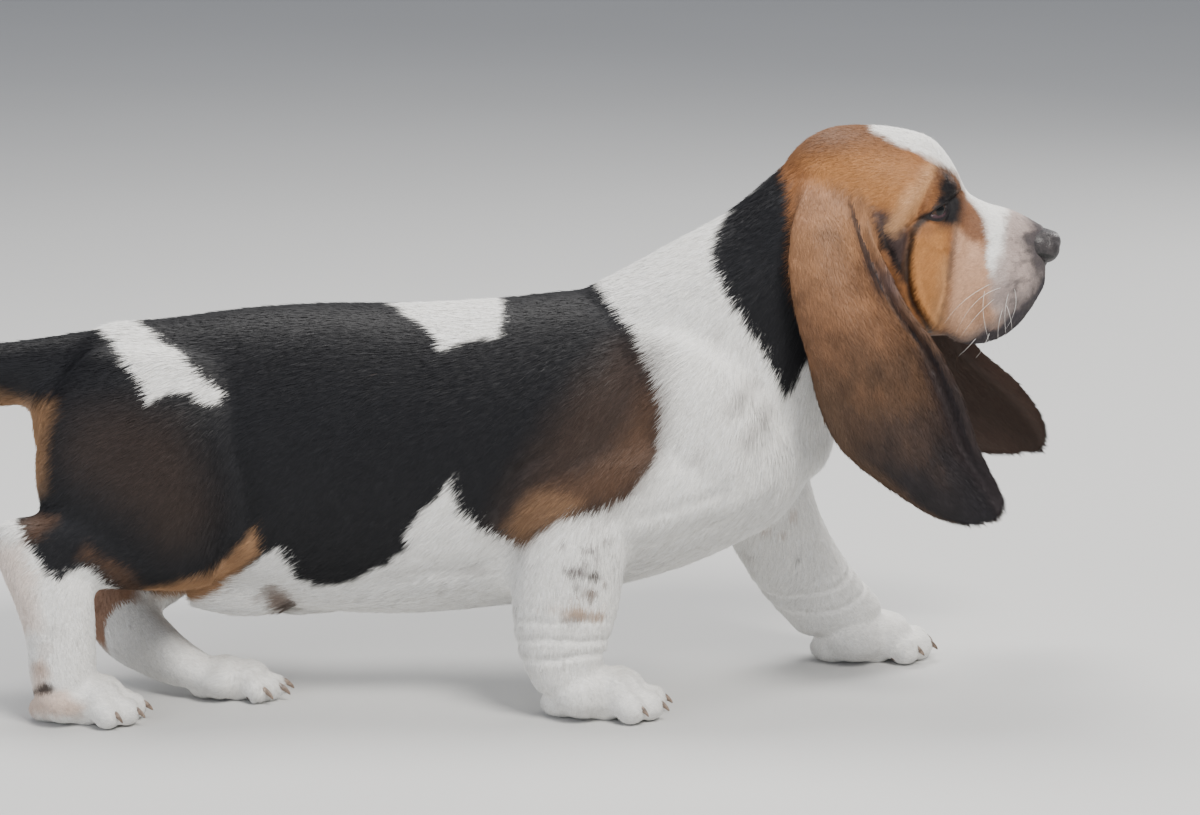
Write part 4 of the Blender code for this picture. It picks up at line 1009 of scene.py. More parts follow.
    (SLATE, 0, 1.8, 0.94, 26, [
        (190, 214), (197, 213.5), (207, 212.5), (215, 214), (221, 218.5), (229, 222), (237, 229), (245, 237.5),
        (250.5, 248), (258, 251), (264, 236), (250, 208), (226, 190), (190, 190),
    ]),
    # Pink skin showing through at the near hock and heel, and tan under the tail and on the
    # hind leg of the left side.
    (PALE_PINK, -1, 6, 0.7, 57, [(-350, 102), (-346, 62), (-334, 46), (-320, 52), (-320, 80), (-328, 102)]),
    (PINK_TAN, -1, 4, 0.6, 57, [(-332, 0), (-331, 13), (-322, 17), (-306, 14), (-296, 6), (-298, 0)]),
    (PINK_TAN, -1, 3, 0.45, 57, [(-326, 16), (-325, 31), (-319, 34), (-315, 24), (-318, 16)]),
    (PALE_RUST, 0, 7, 0.9, 57, [
        (-306, 184), (-345, 188), (-345, 134), (-314, 134), (-313, 150), (-310, 168),
    ]),
    (RUST, 1, 5, 0.9, -22, [
        (-306, 96), (-268, 84), (-268, 62), (-276, 47), (-281, 35), (-290, 28), (-312, 34), (-318, 70),
    ]),
]
# Spots of the white parts: x, z, across, up, side, colour, strength.
SPOTS = [
    (-12, 86, 5, 2.0, -1, GREY, 0.95), (-3, 84, 3.6, 2.6, -1, SOOT, 0.9), (-18, 87, 3, 1.3, -1, GREY, 0.8),
    (-4, 74, 4, 1.7, -1, BROWN, 0.8), (-13, 78, 2.5, 1.2, -1, GREY, 0.5), (-13, 62, 6.5, 2.8, -1, PALE_RUST, 0.75),
    (-2, 60, 4.5, 2.2, -1, PALE_RUST, 0.7), (-16, 56, 4.5, 1.5, -1, GREY, 0.5), (-6, 99, 3.5, 1.5, -1, GREY, 0.8),
    (5, 105, 3, 1.5, -1, GREY, 0.6), (-5, 70, 2.2, 1.2, -1, BROWN, 0.7), (-8, 91, 1.8, 1.2, -1, GREY, 0.7),
    (-20, 102, 1.6, 1.2, -1, GREY, 0.6), (-1, 93, 1.6, 1.4, -1, GREY, 0.6), (3, 79, 1.5, 1.2, -1, BROWN, 0.6),
    (-320, 28, 5, 3.5, -1, RUST, 0.35), (-318, 40, 4, 4, -1, RUST, 0.2), (-312, 52, 6, 3, -1, GREY, 0.18),
    (-318, 16, 4, 2.4, -1, DARK, 0.95), (-323, 14.5, 4, 1.0, -1, DARK, 0.7), (-240, 28, 5, 3, 1, RUST, 0.35), (97, 98, 3, 1.5, 1, RUST, 0.35),
    (106, 96, 2.5, 1.5, 1, RUST, 0.35), (112, 106, 2, 2, 1, RUST, 0.35), (88, 78, 5, 1.4, 1, GREY, 0.3),
    (116, 79, 1.2, 1.2, 1, DARK, 0.6), (-68, 86, 6, 2.5, 0, GREY, 0.3), (-180, 68, 7, 5, 0, BROWN, 0.85),
    (-176, 65, 3.5, 3, 0, DARK, 0.8),
]


def inside_outline(flat, outline):
    """How far flat points lie inside a closed outline, in millimetres, negative outside: the
    distance to the nearest edge, with its sign from counting edges crossed on the way out."""
    a = np.array(outline, float)
    b = np.roll(a, -1, axis=0)
    best, crossed = np.full(len(flat), 1e9), np.zeros(len(flat), bool)
    for p, q in zip(a, b):
        pq, away = q - p, flat - p
        t = np.clip(away @ pq / (pq @ pq), 0, 1)
        best = np.minimum(best, np.linalg.norm(away - t[:, None] * pq, axis=1))
        if p[1] != q[1]:
            crosses = (p[1] > flat[:, 1]) != (q[1] > flat[:, 1])
            crossed ^= crosses & (flat[:, 0] < p[0] + (flat[:, 1] - p[1]) * pq[0] / pq[1])
    return np.where(crossed, best, -best)


def coat_colour(points, normals):
    """The colour of the coat at each place: the outlines laid over one another with soft,
    wandering edges, the ears by their own length and breadth, and ticking in the white."""
    colour = np.tile(WHITE, (len(points), 1))
    ragged = smooth_noise(points, 3.2, 1) * 1.1 + smooth_noise(points, 9, 2) * 1.4
    flats = {}
    for tone, side, soft, strength, plane, outline in PATCHES:
        if plane not in flats:
            flats[plane] = in_side_view(points, abs(plane))
        flat = flats[plane]
        bounds = np.array(outline)
        near = np.all((flat > bounds.min(0) - soft - 4) & (flat < bounds.max(0) + soft + 4), axis=1)
        if side:
            near &= points[:, 1] * side > 0
        near = np.flatnonzero(near)
        share = smooth_step(inside_outline(flat[near], outline) + ragged[near], -soft, soft)
        share = (share * strength)[:, None]
        colour[near] = colour[near] * (1 - share) + np.array(tone) * share
    flat = flats[57]
    for x, z, across, up, side, tone, strength in SPOTS:
        ring = ((flat[:, 0] - x) / across / 1.2) ** 2 + ((flat[:, 1] - z) / up / 1.4) ** 2
        ring = ring * (1 + 0.45 * ragged)
        share = strength * np.exp(-(np.maximum(ring, 0) ** 2)) * (points[:, 1] * side >= 0)
        colour = colour * (1 - share[:, None]) + np.array(tone) * share[:, None]
    # Mottling of the muzzle, and ticking on the legs and the white of the neck.
    x, y, z = points.T
    muzzle = smooth_step(x, 226, 236) * smooth_step(z, 200, 210)
    speck = smooth_step(smooth_noise(points, 2.6, 5) + 0.5 * smooth_noise(points, 6, 6), 0.05, 0.75)
    share = (0.62 * muzzle * speck)[:, None]
    colour = colour * (1 - share) + np.array(GREY) * 0.5 * share
    legs = smooth_step(-z, -112, -96) * smooth_step(z, 6, 22)
    tick = smooth_step(smooth_noise(points, 3.4, 8) + 0.6 * smooth_noise(points, 11, 9), 0.85, 1.15)
    white = smooth_step(colour[:, 1], 0.3, 0.6)
    share = (0.3 * legs * tick * white)[:, None]
    colour = colour * (1 - share) + np.array(GREY) * share
    # The tail's white end.
    tip = smooth_step(-x + ragged * 2, 434, 441)[:, None]
    colour = colour * (1 - tip) + np.array(WHITE) * tip
    # The ears: light brown at the root, dark brown below and black at the tip, with painted shade in the trough and on
    # the front below it.
    away, place = ear_place(points)
    down, front, _ = place.T
    outer = smooth_step(normals[:, 1] * np.sign(points[:, 1]), -0.3, 0.2)[:, None]
    share = (1 - smooth_step(away, 3.5, 7)) * smooth_step(down, 0.0, 0.06)
    wave = smooth_noise(points, 16, 11) * 0.07 + smooth_noise(points, 5, 12) * 0.03
    down = down + wave + 0.10 * (front - 0.4)
    stops = [0, 0.12, 0.3, 0.48, 0.62, 0.76, 1]
    tones = np.array([
        (0.30, 0.15, 0.078), (0.32, 0.16, 0.078), (0.215, 0.104, 0.051), (0.105, 0.056, 0.031),
        (0.050, 0.031, 0.023), (0.018, 0.014, 0.015), (0.012, 0.011, 0.014),
    ])
    ear = np.stack([np.interp(down, stops, tones[:, k]) for k in range(3)], 1)
    mottle = 1 + 0.24 * smooth_noise(points, 9, 13) + 0.14 * smooth_noise(points, 3.5, 14)
    ear *= mottle[:, None]
    # Painted shade on the ear's front: a blue-grey patch high up, the dark trough behind the rolled edge, and a dark
    # band over the front of the lower ear, with a lighter rim.
    shaded = (0.5 * smooth_step(front, 0.86, 0.92) * np.exp(-(((down - 0.33) / 0.07) ** 2)))[:, None]
    ear = ear * (1 - shaded) + np.array((0.13, 0.10, 0.11)) * shaded
    centre = np.interp(down, [0, 0.2, 0.3, 0.4, 0.5], [0.81, 0.81, 0.80, 0.875, 0.93])
    wide = np.interp(down, [0, 0.12, 0.3, 0.45, 0.7], [0.03, 0.05, 0.055, 0.045, 0.05])
    trough = 0.95 * np.exp(-(((front - centre) / wide) ** 2)) * smooth_step(down, 0.02, 0.12)
    lower = smooth_step(front, 0.74, 0.84) * smooth_step(down, 0.42, 0.52) * (1 - 0.5 * smooth_step(front, 0.95, 0.985))
    trough = np.maximum(trough, 0.8 * lower)[:, None]
    ear = ear * (1 - trough) + np.array((0.022, 0.016, 0.018)) * trough
    fringe = (0.5 * smooth_step(0.2 - front + wave, 0, 0.14) * smooth_step(down, 0.3, 0.6))[:, None]
    ear = ear * (1 - fringe) + np.array((0.15, 0.085, 0.048)) * fringe
    # The inner face: its own dark brown, darkened further as painted shade, a little lighter near the root.
    inner = np.array((0.042, 0.023, 0.016)) * (1.25 - 0.5 * down)[:, None]
    ear = ear * outer + inner * (1 - outer)
    colour = colour * (1 - share[:, None]) + ear * share[:, None]
    return colour


def bare_share(points):
    """Where no coat grows: 1 on the lids' rims, round the nose leather and under the paws."""
    inward = lid_inward(points)
    away = np.linalg.norm((points - (250.5, 0, 262)) / (1, 1.25, 1), axis=1)
    sole = (1 - smooth_step(points[:, 2], 1.0, 3.0)) * (points[:, 2] < 5)
    return np.maximum.reduce([smooth_step(inward, -1.4, -0.5), 1 - smooth_step(away, 11.2, 13.2), sole])


def skin_colour(points, normals):
    """The coat's own colour, with the lids' dark rims, the pink haw and the lips' dark edge."""
    colour = coat_colour(points, normals)
    inward = lid_inward(points)
    rim = smooth_step(inward, -2.2, -0.9)[:, None]
    colour = colour * (1 - rim) + np.array((0.014, 0.011, 0.011)) * rim
    haw = 0.95 * smooth_step(inward, 0.3, 0.7) * smooth_step(EYE_CENTRE[2] - points[:, 2], 0.5, 2.5)
    haw = haw[:, None]
    return colour * (1 - haw) + np.array((0.065, 0.033, 0.040)) * haw


# The skin's faces: fewer on the broad body, all of them kept round the eyes and the lips.
SKIN_TRIANGLES = 186000
whole = bmesh.new()
whole.from_mesh(skin_mesh)
bmesh.ops.triangulate(whole, faces=whole.faces)
whole.to_mesh(skin_mesh)
whole.free()
skin = read_points(skin_mesh)
near_eye = np.minimum(*(np.linalg.norm(skin - EYE_CENTRE * (1, side, 1), axis=1) for side in (-1, 1)))
coarse = np.where((skin[:, 0] > 165) & (skin[:, 2] > 194), 0.35, 0.8)
coarse = np.where(skin[:, 2] < 48, 0.5, coarse)
coarse = np.where(ear_place(skin)[0] < 6, 0.55, coarse)
coarse = np.where(near_eye < 13, 0.02, coarse)
thinning = bpy.data.objects.new("thinning", skin_mesh)
bpy.context.scene.collection.objects.link(thinning)
group = thinning.vertex_groups.new(name="coarse")
for level in np.unique(coarse):
    group.add(np.flatnonzero(coarse == level).tolist(), float(level), "REPLACE")
fewer = thinning.modifiers.new("fewer faces", "DECIMATE")
fewer.ratio = SKIN_TRIANGLES / len(skin_mesh.polygons)
fewer.vertex_group = "coarse"
fewer.vertex_group_factor = 1.0
skin_mesh = bpy.data.meshes.new_from_object(thinning.evaluated_get(bpy.context.evaluated_depsgraph_get()))
bpy.data.objects.remove(thinning)
skin = read_points(skin_mesh)
normals = read_points(skin_mesh, "normal")


def keep_layer(mesh, name, values):
    """Writes one value, or one colour, a point as a layer of the mesh."""
    layer = mesh.attributes.new(name, "FLOAT_COLOR" if np.ndim(values) > 1 else "FLOAT", "POINT")
    if np.ndim(values) > 1:
        values = np.column_stack([values, np.ones(len(values))])
    layer.data.foreach_set("color" if np.ndim(values) > 1 else "value", values.astype(np.float32).ravel())


keep_layer(skin_mesh, "coat", skin_colour(skin, normals))
keep_layer(skin_mesh, "wet", smooth_step(lid_inward(skin), -1.2, 0.2))


def new_material(name, roughness, specular=0.5, **inputs):
    """A surface material, its shader's plain settings, and a function that adds its nodes."""
    material = bpy.data.materials.new(name)
    material.use_nodes = True
    tree = material.node_tree
    shader = tree.nodes["Principled BSDF"]
    shader.inputs["Roughness"].default_value = roughness
    shader.inputs["Specular IOR Level"].default_value = specular
    for key, value in inputs.items():
        shader.inputs[key.replace("_", " ")].default_value = value

    def node(kind, links=(), **settings):
        made = tree.nodes.new("ShaderNode" + kind)
        for key, value in settings.items():
            if hasattr(made, key):
                setattr(made, key, value)
            else:
                made.inputs[key.replace("_", " ")].default_value = value
        for key, source in dict(links).items():
            tree.links.new(source, made.inputs[key])
        return made

    return material, shader, tree, node


def add_bump(shader, tree, node, height, distance, strength):
    """Bump from a height, in metres, on the shader's normal."""
    bump = node("Bump", {"Height": height}, Strength=strength, Distance=distance)
    tree.links.new(bump.outputs["Normal"], shader.inputs["Normal"])


# Short hairs as streaks along the body, and the wet shine of lid rims and haws.
skin_finish, shader, tree, node = new_material("hound_skin", 0.6, 0.3)
place = node("TexCoord").outputs["Object"]
along = node("Mapping", {"Vector": place}, Scale=(0.22, 1, 0.5))
hairs = node("TexNoise", {"Vector": along.outputs["Vector"]}, Scale=1500, Detail=4, Roughness=0.65)
coat_layer = node("Attribute", attribute_name="coat")
wet_layer = node("Attribute", attribute_name="wet")
shade = node("MapRange", {"Value": hairs.outputs["Fac"]}, From_Min=0.3, From_Max=0.7, To_Min=0.7, To_Max=1.12)
tone = node("VectorMath", {0: coat_layer.outputs["Color"]}, operation="SCALE")
tree.links.new(shade.outputs["Result"], tone.inputs["Scale"])
tree.links.new(tone.outputs["Vector"], shader.inputs["Base Color"])
dry = node("MapRange", {"Value": wet_layer.outputs["Fac"]}, To_Min=0.62, To_Max=0.32)
tree.links.new(dry.outputs["Result"], shader.inputs["Roughness"])
add_bump(shader, tree, node, hairs.outputs["Fac"], 0.0004, 0.6)
FLESH_NODES = ["head", "neck", "torso", "tail", "ear_left", "ear_right"]
FLESH_NODES += [kind + corner for kind in ("leg_", "paw_") for corner in PAWS]
model_mesh = skin_mesh.copy()
write_points(model_mesh, to_model(skin))
model_mesh.polygons.foreach_set("use_smooth", np.ones(len(model_mesh.polygons), bool))
skin_piece = add_piece("skin", model_mesh, "coat_white", *FLESH_NODES)
model_mesh.materials.clear()
model_mesh.materials.append(skin_finish)

# The eyes: glass balls with a clear dome in front, brown irises and round dark pupils.
IRIS = 6.3
PUPIL = 2.7


def grid_mesh(name, rings, ends=True):
    """A closed mesh from rings of points, each ring joined to the next and each end filled."""
    count, around = rings.shape[:2]
    index = np.arange(count * around).reshape(count, around)
    turned = np.roll(index, -1, axis=1)
    quads = np.stack([index[:-1], index[1:], turned[1:], turned[:-1]], -1).reshape(-1, 4)
    faces = quads.tolist() + ([index[0].tolist(), index[-1][::-1].tolist()] if ends else [])
    mesh = bpy.data.meshes.new(name)
    mesh.from_pydata(rings.reshape(-1, 3), [], faces)
    mesh.update()
    return mesh


def eye_ball(side):
    """A ball about the gaze, in rings by the angle off it, with the dome as a low bell."""
    angle = np.linspace(0.004, math.pi - 0.004, 72)[:, None]
    turn = np.linspace(0, 2 * math.pi, 96, endpoint=False)
    radius = EYE_RADIUS + 0.75 * np.exp(-((angle * EYE_RADIUS / 4.9) ** 4))
    unit = np.stack([np.cos(angle) + 0 * turn, np.sin(angle) * np.cos(turn), np.sin(angle) * np.sin(turn)], -1)
    rings = (unit * radius[..., None]) @ eye_axes(side).T + EYE_CENTRE * (1, side, 1)
    return rings, np.repeat(angle * EYE_RADIUS, 96, axis=1), np.repeat(turn[None], 72, axis=0)


eye_finish, shader, tree, node = new_material("eye_glass", 0.1, 0.22, Coat_Weight=0.22, Coat_Roughness=0.02)
ring = node("Attribute", attribute_name="ring")
ray = node("Attribute", attribute_name="ray")
streak_place = node("CombineXYZ", {"X": ray.outputs["Fac"]}, Y=0.0)
streaks = node("TexNoise", {"Vector": streak_place.outputs["Vector"]}, Scale=9, Detail=3)
jitter = node("MapRange", {"Value": streaks.outputs["Fac"]}, From_Min=0.3, From_Max=0.7, To_Min=-0.5, To_Max=0.5)
reach = node("Math", {0: ring.outputs["Fac"], 1: jitter.outputs["Result"]}, operation="ADD")
share = node("MapRange", {"Value": reach.outputs["Value"]}, From_Max=10.0)
ramp = node("ValToRGB", {"Fac": share.outputs["Result"]})
for spot, tone in (
    (0.0, (0.002, 0.002, 0.002)), (0.27, (0.002, 0.002, 0.002)), (0.31, (0.030, 0.013, 0.007)),
    (0.46, (0.050, 0.022, 0.010)), (0.58, (0.020, 0.010, 0.006)), (0.64, (0.006, 0.005, 0.005)),
    (0.70, (0.09, 0.06, 0.055)), (0.9, (0.20, 0.14, 0.13)),
):
    stop = ramp.color_ramp.elements.new(spot) if spot not in (0.0,) else ramp.color_ramp.elements[0]
    stop.color = (*tone, 1)
ramp.color_ramp.elements.remove(ramp.color_ramp.elements[-1])
tree.links.new(ramp.outputs["Color"], shader.inputs["Base Color"])
for side, name in ((-1, "right"), (1, "left")):
    rings, ring_values, ray_values = eye_ball(side)
    mesh = grid_mesh("eyeball_" + name, to_model(rings))
    keep_layer(mesh, "ring", ring_values.ravel())
    keep_layer(mesh, "ray", np.cos(ray_values.ravel() * 3) + 2 * np.sin(ray_values.ravel()))
    mesh.polygons.foreach_set("use_smooth", np.ones(len(mesh.polygons), bool))
    shape = bmesh.new()
    shape.from_mesh(mesh)
    bmesh.ops.recalc_face_normals(shape, faces=shape.faces)
    shape.to_mesh(mesh)
    shape.free()
    mesh.materials.append(eye_finish)
    add_piece("eyeball_" + name, mesh, "eye", "eye_" + name)

# The nose leather: three fused lumps, pebbled and damp, with a groove down the middle and a
# comma-shaped nostril each side that opens into a slit.
NOSE_PLACE = (248.0, 0, 263.2)
NOSE_TILT = 14


def form_object(name, forms):
    piece = bpy.data.objects.new(name, rings_mesh(name, forms))
    bpy.context.scene.collection.objects.link(piece)
    return piece


lumps = [ball_form((5.4, 0, 4.6), (10.6, 12, 8.6)), ball_form((5.4, 0, -6.6), (6.3, 5, 7.6))]
lumps += [ball_form((7, 5.8 * side, 0.8), (8.5, 8, 8.4)) for side in (-1, 1)]
lumps += [ball_form((2, 7.4 * side, 1.5), (9, 7, 8)) for side in (-1, 1)]
nose = fused(rings_mesh("nose_leather", lumps), 0.42)
write_points(nose, relaxed(nose, read_points(nose), 16, 0.5))
carved = bpy.data.objects.new("nose_leather", nose)
bpy.context.scene.collection.objects.link(carved)
for side in (-1, 1):
    slit_turn = Matrix.Rotation(math.radians(38 * side), 3, "Z")
    hollow = form_object("nostril", [ball_form((13.2, 7.3 * side, -1.2), (6.4, 3.3, 3.3))])
    slit = form_object("slit", [ball_form((8.0, 12.2 * side, -2.2), (8.6, 2.4, 1.2), slit_turn)])
    for cutter in (hollow, slit):
        cut = carved.modifiers.new("cut", "BOOLEAN")
        cut.operation = "DIFFERENCE"
        cut.solver = "EXACT"
        cut.object = cutter
        nose = bpy.data.meshes.new_from_object(carved.evaluated_get(bpy.context.evaluated_depsgraph_get()))
        carved.modifiers.clear()
        carved.data = nose
        bpy.data.objects.remove(cutter)
bpy.data.objects.remove(carved)
nose = fused(nose, 0.34)
shape_points = relaxed(nose, read_points(nose), 5, 0.5)
# Its top is a flat slope in line with the bridge, and its front is nearly upright.
x, y, z = shape_points.T
over = z - (11.6 - 0.05 * x) + 0.014 * y**2
shape_points[:, 2] = np.where(over > -2, z - over - 2 + 2 * np.tanh((over + 2) / 2), z)
over = x - 13.4
shape_points[:, 0] = np.where((over > -2) & (np.abs(y) < 3.4), x - over - 2 + 2 * np.tanh((over + 2) / 2), x)
x, y, z = shape_points.T
groove = 1.0 * np.exp(-((y / 0.9) ** 2)) * smooth_step(x, 6, 11) * smooth_step(4 - z, 0, 5)
shape_points[:, 0] -= groove
nose_turn = np.array(Matrix.Rotation(math.radians(NOSE_TILT), 3, "Y"))
write_points(nose, to_model(shape_points @ nose_turn.T + NOSE_PLACE))
# Painted shade: the nostril hollows are darkened to near black.
hollows = [((12.4, 7.3, -1.2), (6.4, 3.5, 3.5)), ((6.5, 11.4, -2.2), (6.0, 3.0, 1.6))]
deep = np.maximum.reduce([
    1 - smooth_step(np.linalg.norm((shape_points * (1, side, 1) - centre) / radii, axis=1), 0.8, 1.2)
    for side in (-1, 1) for centre, radii in hollows
])
keep_layer(nose, "deep", deep)
nose.polygons.foreach_set("use_smooth", np.ones(len(nose.polygons), bool))
nose_finish, shader, tree, node = new_material("nose_leather", 0.5, 0.45, Coat_Weight=0.12, Coat_Roughness=0.3)
place = node("TexCoord").outputs["Object"]
pebbles = node("TexVoronoi", {"Vector": place}, Scale=1050, Randomness=0.9, feature="SMOOTH_F1", Smoothness=0.35)
grain = node("TexNoise", {"Vector": place}, Scale=420, Detail=3)
tint = node("ValToRGB", {"Fac": grain.outputs["Fac"]})
tint.color_ramp.elements[0].position = 0.3
tint.color_ramp.elements[0].color = (0.012, 0.010, 0.011, 1)
tint.color_ramp.elements[1].position = 0.72
tint.color_ramp.elements[1].color = (0.050, 0.042, 0.043, 1)
inner = node("Attribute", attribute_name="deep")
nostril_shade = node("Mix", {"Factor": inner.outputs["Fac"]}, data_type="RGBA")
tree.links.new(tint.outputs["Color"], nostril_shade.inputs[6])
nostril_shade.inputs[7].default_value = (0.002, 0.0015, 0.0015, 1)
tree.links.new(nostril_shade.outputs[2], shader.inputs["Base Color"])
low_pebble = node("Math", {0: pebbles.outputs["Distance"]}, operation="MULTIPLY")
low_pebble.inputs[1].default_value = -1
add_bump(shader, tree, node, low_pebble.outputs["Value"], 0.0003, 0.7)
nose.materials.clear()
nose.materials.append(nose_finish)
add_piece("nose_leather", nose, "nose_leather", "nose")

# Claws and pads: dark horn claws that curve down from each toe, and leathery pads below.
CLAW_LENGTH = 7.5
CLAW_RADIUS = 2.3


def claw_form(start, out, down, length=CLAW_LENGTH, radius=CLAW_RADIUS):
    """Rings round a bent cone: the radius falls as a square root, the line bends down by the
    square of the way along it, and it is narrower across than it is deep."""
    share = np.linspace(0, 1, 12)[:, None]
    line = start + out * length * share + down * 4.6 * share**2
    ahead = np.gradient(line, axis=0)
    ahead /= np.linalg.norm(ahead, axis=1, keepdims=True)
    aside = np.cross(ahead, down)
    aside /= np.linalg.norm(aside, axis=1, keepdims=True)
    above = np.cross(aside, ahead)
    turn = np.linspace(0, 2 * math.pi, 14, endpoint=False)[:, None]
    size = (radius * np.sqrt(1 - 0.985 * share))[:, :, None]
    return line[:, None] + size * (0.72 * np.cos(turn) * aside[:, None] + np.sin(turn) * above[:, None])


def joined(name, ring_sets, ends=True):
    """One mesh of many closed forms, each from its own rings."""
    meshes = [grid_mesh(name, rings, ends) for rings in ring_sets]
    shape = bmesh.new()
    for mesh in meshes:
        shape.from_mesh(mesh)
        bpy.data.meshes.remove(mesh)
    bmesh.ops.recalc_face_normals(shape, faces=shape.faces)
    made = bpy.data.meshes.new(name)
    shape.to_mesh(made)
    shape.free()
    made.polygons.foreach_set("use_smooth", np.ones(len(made.polygons), bool))
    return made


claws, pads = [], []
for name in PAWS:
    matrix, turn, scale = paw_frame(name)
    for heading, reach, half in TOES:
        knuckle, tip, out = toe_points(heading, reach)
        start = placed(matrix, tip + out * 4.6 + (0, 0, 2.2))
        claws.append(claw_form(start, turn @ out, turn @ np.array((0, 0, -1.0))))
        pads.append(ball_form(placed(matrix, tip + out * -1.5 + (0, 0, -3.6)), np.array((6.2, half * 0.5, 3.4)) * scale, turn))
    pads.append(ball_form(placed(matrix, (-3, 0, 4.6)), np.array((11.5, 13.5, 5.2)) * scale, turn))
claws = [np.concatenate([rings[..., :2], np.maximum(rings[..., 2:], 0.25)], -1) for rings in claws]
pads = [np.concatenate([rings[..., :2], np.maximum(rings[..., 2:], 0.12)], -1) for rings in pads]
claw_mesh = joined("claws", [to_model(rings) for rings in claws])
claw_finish, shader, tree, node = new_material("claw_horn", 0.38, 0.5)
place = node("TexCoord").outputs["Object"]
layers = node("TexNoise", {"Vector": place}, Scale=260, Detail=4, Distortion=1.5)
horn = node("ValToRGB", {"Fac": layers.outputs["Fac"]})
horn.color_ramp.elements[0].position = 0.35
horn.color_ramp.elements[0].color = (0.09, 0.062, 0.045, 1)
horn.color_ramp.elements[1].position = 0.7
horn.color_ramp.elements[1].color = (0.34, 0.25, 0.19, 1)
tree.links.new(horn.outputs["Color"], shader.inputs["Base Color"])
add_bump(shader, tree, node, layers.outputs["Fac"], 0.0002, 0.5)
claw_mesh.materials.append(claw_finish)
add_piece("claws", claw_mesh, "nose_leather")
pad_mesh = joined("pads", [to_model(rings[1:-1]) for rings in pads])
pad_finish, shader, tree, node = new_material("paw_pads", 0.62, 0.4)
place = node("TexCoord").outputs["Object"]
pebbles = node("TexVoronoi", {"Vector": place}, Scale=900, Randomness=1.0)
patches = node("TexNoise", {"Vector": place}, Scale=90, Detail=3)
pad_tint = node("ValToRGB", {"Fac": patches.outputs["Fac"]})
pad_tint.color_ramp.elements[0].position = 0.42
pad_tint.color_ramp.elements[0].color = (0.030, 0.024, 0.026, 1)
pad_tint.color_ramp.elements[1].position = 0.6
pad_tint.color_ramp.elements[1].color = (0.16, 0.085, 0.080, 1)
tree.links.new(pad_tint.outputs["Color"], shader.inputs["Base Color"])
add_bump(shader, tree, node, pebbles.outputs["Distance"], 0.0004, 0.8)
pad_mesh.materials.append(pad_finish)
add_piece("pads", pad_mesh, "nose_leather")

# Whiskers: stiff white hairs from the muzzle's spots, curving back and down. Each is given as
# it shows from the side: root, the point it bends towards, tip, and how far it stands out.
WHISKERS = [
    ((229, 245), (212, 243), (203, 223), 11), ((225, 236), (214, 230), (203, 217), 12),
    ((220, 241), (216, 228), (226, 207), 9), ((233, 240), (228, 229), (232, 209), 10),
    ((237, 243), (240, 233), (233, 219), 8), ((231, 232), (226, 222), (228, 205), 8),
    ((233, 234), (236, 226), (237, 216), 7), ((223, 246), (205, 240), (196, 226), 13),
    ((214, 214), (209, 209), (204, 204), 4), ((222, 216), (219, 208), (212, 202), 4),
]


def whisker_form(root, bend, tip, thick=0.13):
    """Rings round a hair along a parabola that leaves its root towards the bend and ends at
    the tip, its radius falling evenly to a fine point."""
    share = np.linspace(0, 1, 12)[:, None]
    line = root * (1 - share) ** 2 + bend * 2 * share * (1 - share) + tip * share**2
    ahead = np.gradient(line, axis=0)
    ahead /= np.linalg.norm(ahead, axis=1, keepdims=True)
    aside = np.cross(ahead, (0.1, 0.3, 1.0))
    aside /= np.linalg.norm(aside, axis=1, keepdims=True)
    above = np.cross(aside, ahead)
    turn = np.linspace(0, 2 * math.pi, 5, endpoint=False)[:, None]
    size = (thick * (1 - 0.82 * share))[:, :, None]
    return line[:, None] + size * (np.cos(turn) * aside[:, None] + np.sin(turn) * above[:, None])


def skin_at(x, z, side):
    """The outermost skin beside a place in the hound's own side view."""
    near = np.hypot(skin[:, 0] - x, skin[:, 2] - z) + np.where(skin[:, 1] * side > 0, 0, 99)
    few = np.argsort(near)[:12]
    return skin[few[np.argmax(np.abs(skin[few, 1]))]]


picks = np.random.default_rng(21)
whiskers = []
for side in (-1, 1):
    for root, bend, tip, out in WHISKERS:
        start = skin_at(*root, side)
        bend, tip = (
            np.array((x + start[0] - root[0], start[1] + side * stand, z + start[2] - root[1]))
            for (x, z), stand in ((bend, 0.9 * out), (tip, out))
        )
        tip = tip + picks.normal(0, 1.2, 3)
        inner = (start - bend) / np.linalg.norm(start - bend)
        whiskers.append(whisker_form(start + inner * 0.8, bend, tip))
whisker_mesh = joined("whiskers", [to_model(rings) for rings in whiskers])
whisker_finish, shader, tree, node = new_material("whisker_hair", 0.3, 0.5)
place = node("TexCoord").outputs["Object"]
clear = node("TexNoise", {"Vector": place}, Scale=300)
pale = node("ValToRGB", {"Fac": clear.outputs["Fac"]})
pale.color_ramp.elements[0].color = (0.62, 0.58, 0.54, 1)
pale.color_ramp.elements[1].color = (0.9, 0.88, 0.85, 1)
tree.links.new(pale.outputs["Color"], shader.inputs["Base Color"])
whisker_mesh.materials.append(whisker_finish)
add_piece("whiskers", whisker_mesh, "coat_white")

